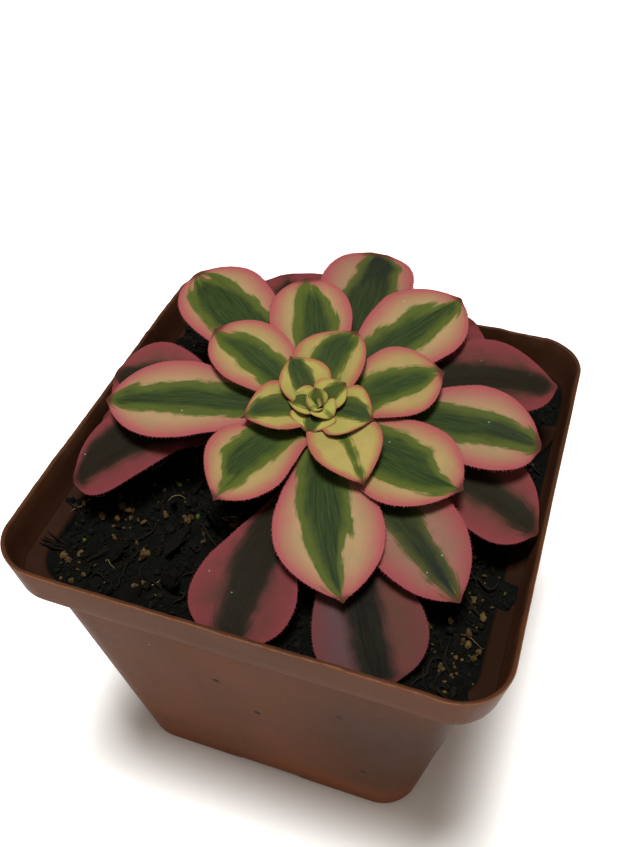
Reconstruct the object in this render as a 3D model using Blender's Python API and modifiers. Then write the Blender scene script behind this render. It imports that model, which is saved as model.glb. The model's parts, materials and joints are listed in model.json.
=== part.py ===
"""Variegated aeonium growing in a square nursery pot.

The assembly is a thin moulded pot, the soil that fills it, one short stem and a
rosette of leaves.  Every leaf is its own solid.  Lengths are metres, +Z is up and
the pot stands on Z = 0 with its centre on the Z axis.
"""

import math

import bmesh
import bpy
from mathutils import Vector

MM = 0.001

# Pot: each ring is (half width, corner radius, height), from the floor outwards.
POT_HEIGHT = 74.0 * MM
RIM_HALF = 45.0 * MM
LEDGE_HEIGHT = 65.0 * MM
WALL = 0.8 * MM
CORNER_STEPS = 6
POT_RINGS = [
    (28.2 * MM, 5.8 * MM, 1.6 * MM),
    (29.0 * MM, 6.4 * MM, 0.0),
    (31.2 * MM, 8.0 * MM, 0.0),
    (31.7 * MM, 8.3 * MM, 0.6 * MM),
    (40.5 * MM, 7.4 * MM, LEDGE_HEIGHT),
    (43.7 * MM, 8.6 * MM, LEDGE_HEIGHT),
    (RIM_HALF, 9.3 * MM, POT_HEIGHT),
]
DRAIN_RADIUS = 3.6 * MM
DRAIN_PITCH = 17.5 * MM
NOTCH_WIDTH = 14.0 * MM
NOTCH_HEIGHT = 0.9 * MM

# Soil: a fill with an uneven top, just below the pot's inner ledge.
SOIL_FLOOR_HALF = 30.2 * MM
SOIL_FLOOR = 2.9 * MM
SOIL_TOP_HALF = 39.1 * MM
SOIL_TOP = 64.3 * MM
SOIL_DIP = 1.3 * MM
SOIL_CORNER = 6.2 * MM
SOIL_CELLS = 14
STEM_HOLE_GAP = 0.35 * MM

# Rosette: its own axis leans forwards, and its origin is the middle of the crown.
CROWN = Vector((0.0, 1.3 * MM, POT_HEIGHT + 8.0 * MM))
CROWN_LEAN = math.radians(10.8)
GOLDEN_ANGLE = 137.508
FIRST_AZIMUTH = 16.0
LEAF_BASE_TOP = -2.0 * MM
LEAF_BASE_STEP = 0.34 * MM
STEM_TOP_RADIUS = 0.5 * MM
STEM_SWELL = 5.0 * MM
STEM_SWELL_RANKS = 6.0
STEM_GAP = 0.35 * MM
STEM_LAST_RANK = 40
STEM_FOOT = -25.0 * MM

# Leaf blade shared by every leaf.
LEAF_THICKNESS = 1.6 * MM
FULL_WIDTH = 12.0 * MM
MARGIN_SHARE = 0.3
NECK_SHARE = 0.27
TIP_END = 0.998
LEAF_CELLS_LONG = 8
LEAF_CELLS_WIDE = 4

# One row per leaf: rank from the bud outwards, turn off the spiral in degrees,
# reach of the tip, height of the tip, width, sideways bow (all mm), roll in
# degrees, and how pointed the tip is.  Ranks that are missing were shed.
LEAVES = [
    (0, 0, 0.9, 1.0, 1.8, 0.0, 0, 0.85),
    (1, 0, 1.9, 0.8, 2.6, 0.0, 0, 0.85),
    (2, 15, 3.4, 1.2, 4.4, 0.0, 0, 0.90),
    (3, 2, 4.6, 0.6, 5.4, 0.0, 0, 0.85),
    (4, 0, 6.0, 0.6, 6.4, 0.0, 0, 0.90),
    (5, 10, 6.9, 1.0, 7.4, 0.0, 0, 0.90),
    (6, 1, 6.0, 0.4, 8.8, 0.0, 0, 0.90),
    (7, 1, 12.0, 1.5, 10.0, 0.0, 0, 0.80),
    (8, -2, 11.0, 1.5, 12.0, 0.0, 0, 0.80),
    (9, -8, 14.0, 1.5, 11.5, -1.0, 0, 0.80),
    (10, 3, 18.0, 1.5, 14.0, 2.0, 0, 0.80),
    (11, 9, 19.5, 1.3, 13.5, 1.0, 0, 0.90),
    (12, -10, 27.0, 1.4, 15.0, 0.0, 0, 0.85),
    (13, 5, 24.0, 0.8, 16.5, 0.7, 0, 0.75),
    (14, -5, 26.5, 0.8, 16.5, -2.0, 0, 0.85),
    (15, -1, 32.0, 0.2, 16.5, 0.0, 0, 0.75),
    (16, 5, 31.0, 0.3, 18.5, -1.0, 0, 0.75),
    (17, -6, 40.5, -1.5, 18.0, 0.0, 0, 0.75),
    (18, 1, 39.0, -2.0, 18.5, 0.7, 6, 0.75),
    (19, 11, 38.0, -2.3, 19.5, -1.0, 0, 0.88),
    (20, -3, 45.5, -2.6, 18.5, 0.0, 0, 0.75),
    (21, -1, 40.5, -2.3, 18.5, 1.0, 0, 0.75),
    (23, -2, 43, -3.4, 21.0, 0.0, 0, 0.50),
    (24, 4, 44.0, -3.9, 17.5, 0.5, 0, 0.75),
    (25, 3, 42.0, -4.0, 18.5, 0.0, 0, 0.60),
    (26, -9, 44.5, -6.3, 20.5, 1.0, 0, 0.50),
    (27, 3, 43.9, -7.0, 18.0, 0.0, 0, 0.50),
    (28, -7, 40.0, -6.0, 20.0, 0.0, 0, 0.60),
    (29, -2, 44.5, -7.0, 18.5, 1.5, 0, 0.60),
    (30, 1, 46.0, -6.5, 17.5, -4.5, 0, 0.60),
    (32, 5, 48.5, -8.6, 20.0, 0.0, 0, 0.50),
    (38, 2, 43.0, -8.5, 16.0, 0.0, 0, 0.60),
    (39, 4, 39.8, -7.0, 17.0, 0.0, 0, 0.60),
]


def clear_scene():
    """Remove every object that the file holds."""
    for item in list(bpy.data.objects):
        bpy.data.objects.remove(item, do_unlink=True)


def new_collection(name):
    """Make a collection and link it to the scene."""
    group = bpy.data.collections.new(name)
    bpy.context.scene.collection.children.link(group)
    return group


def new_material(name, colour, roughness):
    """Make a plain Principled material."""
    material = bpy.data.materials.new(name)
    material.use_nodes = True
    shader = material.node_tree.nodes["Principled BSDF"]
    shader.inputs["Base Color"].default_value = (*colour, 1.0)
    shader.inputs["Roughness"].default_value = roughness
    shader.inputs["Metallic"].default_value = 0.0
    return material


def add_object(name, mesh, group, material=None):
    """Put a mesh in the scene as a named object."""
    item = bpy.data.objects.new(name, mesh)
    group.objects.link(item)
    if material:
        mesh.materials.append(material)
    return item


def smooth(mesh, angle=40.0):
    """Shade round faces smooth and keep the edges that are really sharp."""
    mesh.shade_smooth()
    mesh.set_sharp_from_angle(angle=math.radians(angle))


def rounded_square(half, radius, height):
    """Points of a square outline with round corners, counter-clockwise."""
    points = []
    for corner in range(4):
        for step in range(CORNER_STEPS + 1):
            turn = math.radians(90.0 * corner + 90.0 * step / CORNER_STEPS)
            quarter = math.radians(90.0 * corner + 45.0)
            centre = (half - radius) * math.sqrt(2.0)
            x = centre * math.cos(quarter) + radius * math.cos(turn)
            y = centre * math.sin(quarter) + radius * math.sin(turn)
            points.append(Vector((x, y, height)))
    return points


def grow_ring(mesh_data, edges, points):
    """Extrude the open edge loop and lay its new vertices on the points."""
    grown = bmesh.ops.extrude_edge_only(mesh_data, edges=edges)["geom"]
    verts = [part for part in grown if isinstance(part, bmesh.types.BMVert)]
    verts.sort(key=lambda vert: math.atan2(vert.co.y, vert.co.x) % math.tau)
    points = sorted(points, key=lambda place: math.atan2(place.y, place.x) % math.tau)
    for vert, place in zip(verts, points):
        vert.co = place
    return [part for part in grown if isinstance(part, bmesh.types.BMEdge)]


def cut(item, cutter):
    """Subtract the cutter from the object with an exact Boolean."""
    boolean = item.modifiers.new("cut_" + cutter.name, "BOOLEAN")
    boolean.operation = "DIFFERENCE"
    boolean.solver = "EXACT"
    boolean.object = cutter


def hide_cutter(cutter):
    """Keep a cutter out of the render and draw it as wires."""
    cutter.hide_render = True
    cutter.display_type = "WIRE"


def make_cylinder(name, group, radius, depth, place):
    """Closed upright cylinder."""
    shape = bmesh.new()
    bmesh.ops.create_cone(
        shape, cap_ends=True, segments=20, radius1=radius, radius2=radius, depth=depth
    )
    mesh = bpy.data.meshes.new(name)
    shape.to_mesh(mesh)
    shape.free()
    item = add_object(name, mesh, group)
    item.location = place
    return item


def make_drain_cutters(group):
    """One cutter for each drainage hole: a three by three grid in the floor."""
    cutters = []
    for column in (-1, 0, 1):
        for row in (-1, 0, 1):
            place = (column * DRAIN_PITCH, row * DRAIN_PITCH, 2.0 * MM)
            name = "drain_%d_%d" % (column + 1, row + 1)
            cutters.append(make_cylinder(name, group, DRAIN_RADIUS, 8.0 * MM, place))
    return cutters


def make_notch_cutter(name, group, turned):
    """Bar that cuts the shallow arch under the middle of two opposite sides."""
    radius = ((NOTCH_WIDTH / 2.0) ** 2 + NOTCH_HEIGHT**2) / (2.0 * NOTCH_HEIGHT)
    shape = bmesh.new()
    bmesh.ops.create_cone(
        shape, cap_ends=True, segments=96, radius1=radius, radius2=radius, depth=80.0 * MM
    )
    mesh = bpy.data.meshes.new(name)
    shape.to_mesh(mesh)
    shape.free()
    item = add_object(name, mesh, group)
    item.location = (0.0, 0.0, NOTCH_HEIGHT - radius)
    item.rotation_euler = (math.radians(90.0), 0.0, math.radians(90.0) if turned else 0.0)
    return item


def make_pot(group, cutter_group):
    """Tapered square pot: an open skin of rings, given a wall by Solidify."""
    shape = bmesh.new()
    first = [shape.verts.new(place) for place in rounded_square(*POT_RINGS[0])]
    floor = shape.faces.new(reversed(first))
    edges = list(floor.edges)
    for half, radius, height in POT_RINGS[1:]:
        edges = grow_ring(shape, edges, rounded_square(half, radius, height))
    bmesh.ops.recalc_face_normals(shape, faces=shape.faces)
    if floor.normal.z > 0.0:
        bmesh.ops.reverse_faces(shape, faces=shape.faces)
    mesh = bpy.data.meshes.new("pot")
    shape.to_mesh(mesh)
    shape.free()
    pot = add_object("pot", mesh, group, new_material("pot_plastic", (0.24, 0.09, 0.05), 0.42))
    wall = pot.modifiers.new("wall", "SOLIDIFY")
    wall.thickness = WALL
    wall.offset = -1.0
    wall.use_even_offset = True
    cutters = make_drain_cutters(cutter_group)
    cutters.append(make_notch_cutter("notch_front_back", cutter_group, False))
    cutters.append(make_notch_cutter("notch_sides", cutter_group, True))
    for cutter in cutters:
        hide_cutter(cutter)
        cut(pot, cutter)
    smooth(mesh)
    return pot


def soil_height(x, y):
    """Height of the soil: a shallow dish with small lumps."""
    middle = 1.0 - min(1.0, math.hypot(x, y) / SOIL_TOP_HALF)
    lumps = math.sin(x * 310.0 + 1.3) * math.cos(y * 270.0 - 0.4)
    return SOIL_TOP - SOIL_DIP * middle + 0.35 * MM * lumps


def make_soil(group):
    """Closed fill: a gridded top, walls that taper like the pot, and a flat floor."""
    shape = bmesh.new()
    bmesh.ops.create_grid(
        shape, x_segments=SOIL_CELLS, y_segments=SOIL_CELLS, size=1.0
    )
    inner = SOIL_TOP_HALF - SOIL_CORNER
    for vert in shape.verts:
        x = vert.co.x * SOIL_TOP_HALF
        y = vert.co.y * SOIL_TOP_HALF
        over_x = max(0.0, abs(x) - inner)
        over_y = max(0.0, abs(y) - inner)
        reach = math.hypot(over_x, over_y)
        squeeze = max(over_x, over_y) / reach if reach > 0.0 else 1.0
        x = math.copysign(min(abs(x), inner) + over_x * squeeze, x)
        y = math.copysign(min(abs(y), inner) + over_y * squeeze, y)
        vert.co = (x, y, soil_height(x, y))
    rim = [edge for edge in shape.edges if edge.is_boundary]
    grown = bmesh.ops.extrude_edge_only(shape, edges=rim)["geom"]
    shrink = SOIL_FLOOR_HALF / SOIL_TOP_HALF
    for part in grown:
        if isinstance(part, bmesh.types.BMVert):
            part.co = (part.co.x * shrink, part.co.y * shrink, SOIL_FLOOR)
    floor = [edge for edge in shape.edges if edge.is_boundary]
    bmesh.ops.contextual_create(shape, geom=floor)
    bmesh.ops.recalc_face_normals(shape, faces=shape.faces)
    mesh = bpy.data.meshes.new("soil")
    shape.to_mesh(mesh)
    shape.free()
    return add_object("soil", mesh, group, new_material("soil", (0.016, 0.013, 0.011), 0.95))


def leaf_base(rank):
    """Radius and height on the rosette's axis where a leaf joins the stem."""
    radius = STEM_TOP_RADIUS + STEM_SWELL * (1.0 - math.exp(-rank / STEM_SWELL_RANKS))
    return radius, LEAF_BASE_TOP - LEAF_BASE_STEP * rank


def make_stem_mesh(name, grow):
    """Profile of the stem, which a Screw modifier turns about the rosette's axis."""
    profile = [(0.0, LEAF_BASE_TOP - 0.2 * MM + grow)]
    for rank in range(2, STEM_LAST_RANK + 1, 4):
        radius, height = leaf_base(rank)
        profile.append((radius - STEM_GAP + grow, height))
    radius = profile[-1][0]
    profile.append((radius * 0.95, STEM_FOOT * 0.8))
    profile.append((radius * 0.55, STEM_FOOT - grow * 0.7))
    profile.append((0.0, STEM_FOOT - grow))
    mesh = bpy.data.meshes.new(name)
    verts = [(x, 0.0, z) for x, z in profile]
    edges = [(index, index + 1) for index in range(len(verts) - 1)]
    mesh.from_pydata(verts, edges, [])
    return mesh


def turn_about_axis(item):
    """Spin the profile into a closed solid."""
    screw = item.modifiers.new("turn", "SCREW")
    screw.steps = 20
    screw.render_steps = 20
    screw.use_merge_vertices = True
    screw.merge_threshold = 0.00002
    screw.use_smooth_shade = True
    screw.use_normal_calculate = True


def make_stem(group, crown):
    """Short woody stem that carries the leaves."""
    material = new_material("stem_bark", (0.16, 0.11, 0.06), 0.8)
    stem = add_object("stem", make_stem_mesh("stem", 0.0), group, material)
    stem.parent = crown
    turn_about_axis(stem)
    return stem


def make_stem_hole(group, crown, soil):
    """Cut the stem's hole in the soil with a slightly larger copy of the stem."""
    hole = add_object("stem_hole", make_stem_mesh("stem_hole", STEM_HOLE_GAP), group)
    hole.parent = crown
    turn_about_axis(hole)
    hide_cutter(hole)
    cut(soil, hole)


def half_width(along, width, rank, point):
    """Half the blade's width: a narrow neck that opens to a spoon and closes at the tip."""
    opening = 1.3 if rank < 17 else 1.6
    widest = opening / (opening + point)
    peak = widest**opening * (1.0 - widest) ** point
    spoon = along**opening * (1.0 - along) ** point / peak
    neck = NECK_SHARE * (1.0 - along) ** 2
    return 0.5 * width * (neck * (1.0 - 0.3 * along) + spoon * (1.0 - neck))


def leaf_place(along, across, rank, reach, rise, width, bow, roll, point):
    """Place on the blade, with x outwards, y sideways and z along the rosette's axis.

    The midrib is a quadratic Bezier curve from the stem to the tip.  It leaves the stem
    at a pitch that falls with rank, and the blade is cupped more near the bud.
    """
    base_x, base_z = leaf_base(rank)
    pitch = math.radians(24.0 + 64.0 * math.exp(-rank / 13.0))
    cup = 0.06 + 0.55 * math.exp(-rank / 5.5)
    half_span = 0.5 * math.hypot(reach - base_x, rise - base_z)
    bend_x = base_x + half_span * math.cos(pitch)
    bend_z = base_z + half_span * math.sin(pitch)
    rest = 1.0 - along
    x = rest**2 * base_x + 2.0 * along * rest * bend_x + along**2 * reach
    z = rest**2 * base_z + 2.0 * along * rest * bend_z + along**2 * rise
    slope_x = 2.0 * rest * (bend_x - base_x) + 2.0 * along * (reach - bend_x)
    slope_z = 2.0 * rest * (bend_z - base_z) + 2.0 * along * (rise - bend_z)
    length = math.hypot(slope_x, slope_z)
    side = half_width(along, width, rank, point) * across
    lift = cup * abs(side) * abs(across) ** 0.8
    turn = roll * along
    side_turned = side * math.cos(turn) - lift * math.sin(turn) + bow * 4.0 * along * rest
    lift_turned = side * math.sin(turn) + lift * math.cos(turn)
    x -= lift_turned * slope_z / length
    z += lift_turned * slope_x / length
    return Vector((x, side_turned, z))


def make_leaf(row, group, crown, material):
    """One leaf: a grid laid on the blade's formula, thinned towards its margins."""
    rank, turn_off, reach, rise, width, bow, roll, point = row
    lengths = (reach * MM, rise * MM, width * MM, bow * MM)
    shape = bmesh.new()
    bmesh.ops.create_grid(
        shape, x_segments=LEAF_CELLS_LONG, y_segments=LEAF_CELLS_WIDE, size=1.0
    )
    bodies = {}
    for vert in shape.verts:
        across = vert.co.y
        along = TIP_END * (1.0 - (0.5 - 0.5 * vert.co.x) ** 1.5)
        bodies[vert.index] = (1.0 - across**2) * (1.0 - 0.3 * along)
        vert.co = leaf_place(along, across, rank, *lengths, math.radians(roll), point)
    name = "leaf_%02d" % (rank + 1)
    mesh = bpy.data.meshes.new(name)
    shape.to_mesh(mesh)
    shape.free()
    leaf = add_object(name, mesh, group, material)
    leaf.parent = crown
    azimuth = FIRST_AZIMUTH - GOLDEN_ANGLE * rank + turn_off
    leaf.rotation_euler = (0.0, 0.0, math.radians(azimuth % 360.0))
    body = leaf.vertex_groups.new(name="body")
    for index, weight in bodies.items():
        body.add([index], weight, "REPLACE")
    flesh = leaf.modifiers.new("flesh", "SOLIDIFY")
    flesh.thickness = LEAF_THICKNESS * min(1.0, width * MM / FULL_WIDTH)
    flesh.offset = -1.0
    flesh.vertex_group = "body"
    flesh.thickness_vertex_group = MARGIN_SHARE
    smooth(mesh, 60.0)
    return leaf


def leaf_material(rank):
    """Colours run from yellow-green at the bud, through cream, to dusky pink outside."""
    if rank < 7:
        return new_material("leaf_bud_%02d" % (rank + 1), (0.42, 0.45, 0.12), 0.45)
    if rank < 25:
        return new_material("leaf_cream_%02d" % (rank + 1), (0.50, 0.36, 0.18), 0.45)
    return new_material("leaf_pink_%02d" % (rank + 1), (0.30, 0.08, 0.09), 0.5)


def make_crown(group):
    """Empty that leans and carries the stem and the leaves."""
    crown = bpy.data.objects.new("crown", None)
    group.objects.link(crown)
    crown.location = CROWN
    crown.rotation_euler = (CROWN_LEAN, 0.0, 0.0)
    return crown


def build():
    """Build the potted plant."""
    clear_scene()
    plant = new_collection("potted_succulent")
    cutters = new_collection("cutters")
    make_pot(plant, cutters)
    soil = make_soil(plant)
    crown = make_crown(plant)
    make_stem(plant, crown)
    make_stem_hole(cutters, crown, soil)
    for row in LEAVES:
        make_leaf(row, plant, crown, leaf_material(row[0]))


build()
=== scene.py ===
# %% [markdown]
# # Variegated rosette succulent in a square nursery pot
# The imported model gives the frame: a thin square pot, the soil in it, a short stem and
# one solid for each leaf. This lesson gives each of them its fine shape and its finish.
# Nothing moves, so every piece rides on the one body, "root".

# %% Load the frame
import json
import math

import bmesh
import bpy
import numpy as np
from mathutils import Matrix, Vector

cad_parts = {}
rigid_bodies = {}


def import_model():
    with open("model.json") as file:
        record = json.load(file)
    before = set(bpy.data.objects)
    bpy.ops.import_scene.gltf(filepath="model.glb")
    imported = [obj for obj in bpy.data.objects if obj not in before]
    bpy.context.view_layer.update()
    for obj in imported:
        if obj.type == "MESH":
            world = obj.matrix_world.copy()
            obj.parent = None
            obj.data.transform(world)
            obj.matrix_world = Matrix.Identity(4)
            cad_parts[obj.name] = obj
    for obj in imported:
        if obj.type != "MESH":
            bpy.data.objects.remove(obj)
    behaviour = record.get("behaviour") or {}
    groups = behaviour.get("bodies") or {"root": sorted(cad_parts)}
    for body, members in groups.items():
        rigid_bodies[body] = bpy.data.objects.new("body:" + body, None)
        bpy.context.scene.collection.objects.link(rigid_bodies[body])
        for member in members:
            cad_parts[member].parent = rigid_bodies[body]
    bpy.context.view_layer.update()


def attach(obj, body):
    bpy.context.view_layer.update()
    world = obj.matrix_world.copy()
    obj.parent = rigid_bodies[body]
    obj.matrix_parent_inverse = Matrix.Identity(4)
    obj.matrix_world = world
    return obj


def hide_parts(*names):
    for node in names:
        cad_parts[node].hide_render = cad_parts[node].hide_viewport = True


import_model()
MM = 0.001

# %% [markdown]
# ## Surfaces from arrays
# Every new piece is a grid of points worked out in one go with numpy. Small helpers list
# the faces between neighbouring points, and one fills a Blender mesh straight from the
# arrays, which is fast and keeps the order of the points, so that numbers worked out for
# each point can be stored beside them.

# %% Mesh helpers
def unit(value):
    """Value held between 0 and 1."""
    return np.clip(value, 0.0, 1.0)


def unit_length(vectors):
    """Vectors made one long."""
    return vectors / np.linalg.norm(vectors, axis=-1, keepdims=True)


def circle(turn):
    """Points at these turns round a circle of radius 1."""
    return np.stack([np.cos(turn), np.sin(turn)], -1)


def drawn_in(points, half, corner):
    """Points of a square, those by its corners drawn in so that the corners are round."""
    over = np.maximum(np.abs(points) - (half - corner), 0.0)
    reach = np.maximum(np.hypot(over[..., 0], over[..., 1]), 1e-9)[..., None]
    squeeze = over.max(-1, keepdims=True) / reach
    return np.sign(points) * (np.minimum(np.abs(points), half - corner) + over * squeeze)


def grid_faces(rows, columns, closed=False):
    """Faces between neighbours of a rows by columns grid. Closed joins the last column
    to the first."""
    row = np.arange(rows - 1)[:, None]
    column = np.arange(columns if closed else columns - 1)[None, :]
    near = row * columns + column
    far = row * columns + (column + 1) % columns
    return np.stack([near, far, far + columns, near + columns], -1).reshape(-1, 4)


def cap_faces(ring, centre, flip=False):
    """Triangles from each step of a closed ring of points to one centre point."""
    ring = np.asarray(ring)
    following = np.roll(ring, -1)
    pair = (following, ring) if flip else (ring, following)
    return np.stack([*pair, np.full(len(ring), centre)], -1)


def repeated_faces(faces, count, points):
    """Faces of one small body, for count copies of it with so many points each."""
    return (faces + points * np.arange(count)[:, None, None]).reshape(-1, faces.shape[1])


def make_mesh(name, points, face_lists, fields=None, smooth=True):
    """Mesh from an array of points and arrays of faces. Fields are numbers or vectors
    worked out for each point, stored as attributes that a material can read."""
    mesh = bpy.data.meshes.new(name)
    mesh.vertices.add(len(points))
    mesh.vertices.foreach_set("co", np.asarray(points, np.float32).ravel())
    sizes = np.concatenate([np.full(len(f), f.shape[1]) for f in face_lists])
    corners = np.concatenate([f.ravel() for f in face_lists])
    mesh.loops.add(len(corners))
    mesh.loops.foreach_set("vertex_index", corners.astype(np.int32))
    mesh.polygons.add(len(sizes))
    starts = np.concatenate([[0], np.cumsum(sizes)[:-1]])
    mesh.polygons.foreach_set("loop_start", starts.astype(np.int32))
    mesh.polygons.foreach_set("use_smooth", np.full(len(sizes), smooth))
    mesh.update(calc_edges=True)
    for key, values in (fields or {}).items():
        values = np.asarray(values, np.float32)
        kind = "FLOAT" if values.ndim == 1 else "FLOAT_VECTOR"
        slot = "value" if values.ndim == 1 else "vector"
        mesh.attributes.new(key, kind, "POINT").data.foreach_set(slot, values.ravel())
    mesh.validate()
    return mesh


print("faces of a 3 by 3 grid of points:", grid_faces(3, 3).tolist())

# %% [markdown]
# A finished mesh is shown by an object. The object gets its material, rides on a body of
# the model, and hides the plain solid it takes the place of.

# %% Place a piece
def place(name, mesh, material, slot, *nodes):
    """Show a mesh as a piece that rides on the one body and stands for CAD nodes."""
    item = bpy.data.objects.new(name, mesh)
    bpy.context.scene.collection.objects.link(item)
    mesh.materials.append(material)
    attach(item, "root")
    if nodes:
        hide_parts(*nodes)
    return item


# %% [markdown]
# Natural shapes need noise. This one puts random numbers on a square lattice and eases
# between them, and the fractal adds finer and weaker copies. Each use has its own seed,
# so the scene comes out the same on every run.

# %% Noise
LATTICE = 97  # points along each side of the lattice before the noise repeats


def value_noise(x, y, cell, seed):
    """Smooth noise from -1 to 1: random numbers at the corners of square cells, blended
    inside each cell with an ease curve along x and along y."""
    lattice = np.random.default_rng(seed).uniform(-1.0, 1.0, (LATTICE, LATTICE))
    x, y = np.asarray(x) / cell, np.asarray(y) / cell
    column, row = np.floor(x).astype(int), np.floor(y).astype(int)
    x, y = x - column, y - row
    x, y = x * x * (3.0 - 2.0 * x), y * y * (3.0 - 2.0 * y)
    left, right = column % LATTICE, (column + 1) % LATTICE
    near, far = (lattice[left, side] * (1 - x) + lattice[right, side] * x
                 for side in (row % LATTICE, (row + 1) % LATTICE))
    return near * (1 - y) + far * y


def fractal(x, y, cell, seed, octaves=3):
    """Sum of noises, each with half the cell and half the height of the one before."""
    return sum(value_noise(x, y, cell / 2**n, seed + n) / 2**n for n in range(octaves))


print("noise along a line:", np.round(fractal(np.arange(5.0), 0.0, 3.0, 1), 2))

# %% [markdown]
# ## Shader helpers
# Materials are built from nodes in code. These helpers add a node, set its sockets from
# numbers or from other nodes' outputs, and return the output, so that a material reads
# like a formula.

# %% Shader helpers
def put(tree, kind, inputs=(), **settings):
    """Add a node. Inputs are numbers, colours or sockets, by name or by place."""
    node = tree.nodes.new(kind)
    for key, value in settings.items():
        setattr(node, key, value)
    pairs = inputs.items() if isinstance(inputs, dict) else enumerate(inputs)
    for key, value in pairs:
        if isinstance(value, bpy.types.NodeSocket):
            tree.links.new(value, node.inputs[key])
        elif value is not None:
            node.inputs[key].default_value = value
    return node


def attribute(tree, name, output="Fac"):
    """Number or vector that a mesh stores for each point."""
    return put(tree, "ShaderNodeAttribute", attribute_name=name).outputs[output]


def object_place(tree):
    """Place on the object, in metres."""
    return put(tree, "ShaderNodeTexCoord").outputs["Object"]


def maths(tree, operation, *values):
    """One sum on numbers or sockets."""
    return put(tree, "ShaderNodeMath", values, operation=operation).outputs[0]


def times(tree, product, *others):
    """Product of numbers or sockets."""
    for value in others:
        product = maths(tree, "MULTIPLY", product, value)
    return product


def distance(tree, start, end):
    """Distance between two places."""
    node = put(tree, "ShaderNodeVectorMath", [start, end], operation="DISTANCE")
    return node.outputs["Value"]


# %% [markdown]
# The next helpers mix and scatter. The soft step carries a value from one range to
# another, and blending, noise and stretched coordinates make most of every finish.

# %% Mixing helpers
def ease(tree, value, low, high, start=0.0, end=1.0):
    """Value carried from low..high to start..end with a soft step."""
    node = put(tree, "ShaderNodeMapRange", [value, low, high, start, end])
    node.interpolation_type = "SMOOTHSTEP"
    return node.outputs[0]


def blend(tree, share, first, second):
    """Colour that goes from first to second. A colour is a socket, or red, green and
    blue on the linear scale."""
    first, second = (value if isinstance(value, bpy.types.NodeSocket) else (*value, 1.0)
                     for value in (first, second))
    inputs = {0: share, 6: first, 7: second}
    return put(tree, "ShaderNodeMix", inputs, data_type="RGBA").outputs[2]


def mapped(tree, vector, scale=(1.0, 1.0, 1.0), offset=(0.0, 0.0, 0.0)):
    """Coordinates moved, and with a scale of their own along each axis."""
    inputs = {"Vector": vector, "Scale": scale, "Location": offset}
    return put(tree, "ShaderNodeMapping", inputs).outputs[0]


def noise(tree, vector, scale, detail=3.0, roughness=0.55):
    """Noise texture's value. Three scales stretch it, each along its axis."""
    if isinstance(scale, tuple):
        vector, scale = mapped(tree, vector, scale), 1.0
    inputs = {"Vector": vector, "Scale": scale, "Detail": detail, "Roughness": roughness}
    return put(tree, "ShaderNodeTexNoise", inputs).outputs["Fac"]


def new_material(name, **sockets):
    """Material with one Principled shader, whose plain sockets are set by name."""
    material = bpy.data.materials.new(name)
    material.use_nodes = True
    shader = material.node_tree.nodes["Principled BSDF"]
    for key, value in sockets.items():
        shader.inputs[key.replace("_", " ")].default_value = value
    return material, material.node_tree, shader


def link(tree, socket, shader, name):
    """Feed a socket of the shader."""
    tree.links.new(socket, shader.inputs[name])


def bump(tree, shader, height, size):
    """Raise the surface by a height of 0 to 1, which stands for a size in metres."""
    node = put(tree, "ShaderNodeBump", {"Height": height, "Distance": size})
    link(tree, node.outputs[0], shader, "Normal")


# %% [markdown]
# ### Effects that several materials share
# Two effects come back on plastic, leaf and soil: small scattered specks, and a fine
# uneven grain. Each is a node group, built once, with its own values in each material.

# %% Shared node groups
def new_group(name, inputs, outputs):
    """Empty node group with named number, vector or colour sockets."""
    tree = bpy.data.node_groups.new(name, "ShaderNodeTree")
    for way, sockets in (("INPUT", inputs), ("OUTPUT", outputs)):
        for key, kind, value in sockets:
            kind = "NodeSocket" + kind
            socket = tree.interface.new_socket(key, in_out=way, socket_type=kind)
            if value is not None:
                socket.default_value = value
    return tree, tree.nodes.new("NodeGroupInput"), tree.nodes.new("NodeGroupOutput")


def specks_group():
    """Round specks: the distance to scattered points, kept where it is under a radius
    that differs from speck to speck, and only for a share of the points."""
    tree, given, made = new_group(
        "scattered_specks",
        [("Vector", "Vector", None), ("Scale", "Float", 300.0),
         ("Share", "Float", 0.3), ("Radius", "Float", 0.12)],
        [("Mask", "Float", None)],
    )
    inputs = {"Vector": given.outputs[0], "Scale": given.outputs[1]}
    cells = put(tree, "ShaderNodeTexVoronoi", inputs)
    parts = put(tree, "ShaderNodeSeparateColor", [cells.outputs["Color"]])
    radius = maths(tree, "MULTIPLY", given.outputs[3], parts.outputs[1])
    inner = maths(tree, "MULTIPLY", radius, 0.6)
    near = put(tree, "ShaderNodeMapRange", [cells.outputs["Distance"], inner, radius, 1.0, 0.0])
    kept = maths(tree, "LESS_THAN", parts.outputs[0], given.outputs[2])
    tree.links.new(maths(tree, "MULTIPLY", near.outputs[0], kept), made.inputs[0])
    return tree


def grain_group():
    """Uneven grain: coarse and fine noise added together, from 0 to 1."""
    tree, given, made = new_group(
        "uneven_grain",
        [("Vector", "Vector", None), ("Scale", "Float", 200.0), ("Fine Share", "Float", 0.4)],
        [("Height", "Float", None)],
    )
    coarse = noise(tree, given.outputs[0], given.outputs[1], 4.0, 0.6)
    finer = maths(tree, "MULTIPLY", given.outputs[1], 6.0)
    fine = noise(tree, given.outputs[0], finer, 2.0, 0.6)
    height = put(tree, "ShaderNodeMix", [given.outputs[2], None, coarse, fine])
    tree.links.new(height.outputs[0], made.inputs[0])
    return tree


SPECKS, GRAIN = specks_group(), grain_group()


def use_group(tree, group, inputs):
    """Place a node group, set its inputs in order and return its first output."""
    return put(tree, "ShaderNodeGroup", inputs, node_tree=group).outputs[0]


print("shared effects:", SPECKS.name, GRAIN.name)

# %% [markdown]
# ## The pot
# The real pot is injection moulded: four thin sloping walls with round corners, a ledge
# that catches the next pot when they are stacked, and an upright rim. Its wall could be
# cut and thickened with modifiers. Here one closed profile is carried round a square
# with round corners instead, because then the fillets, the worn lip and the slight
# waves of the thin wall are all part of one formula.

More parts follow.
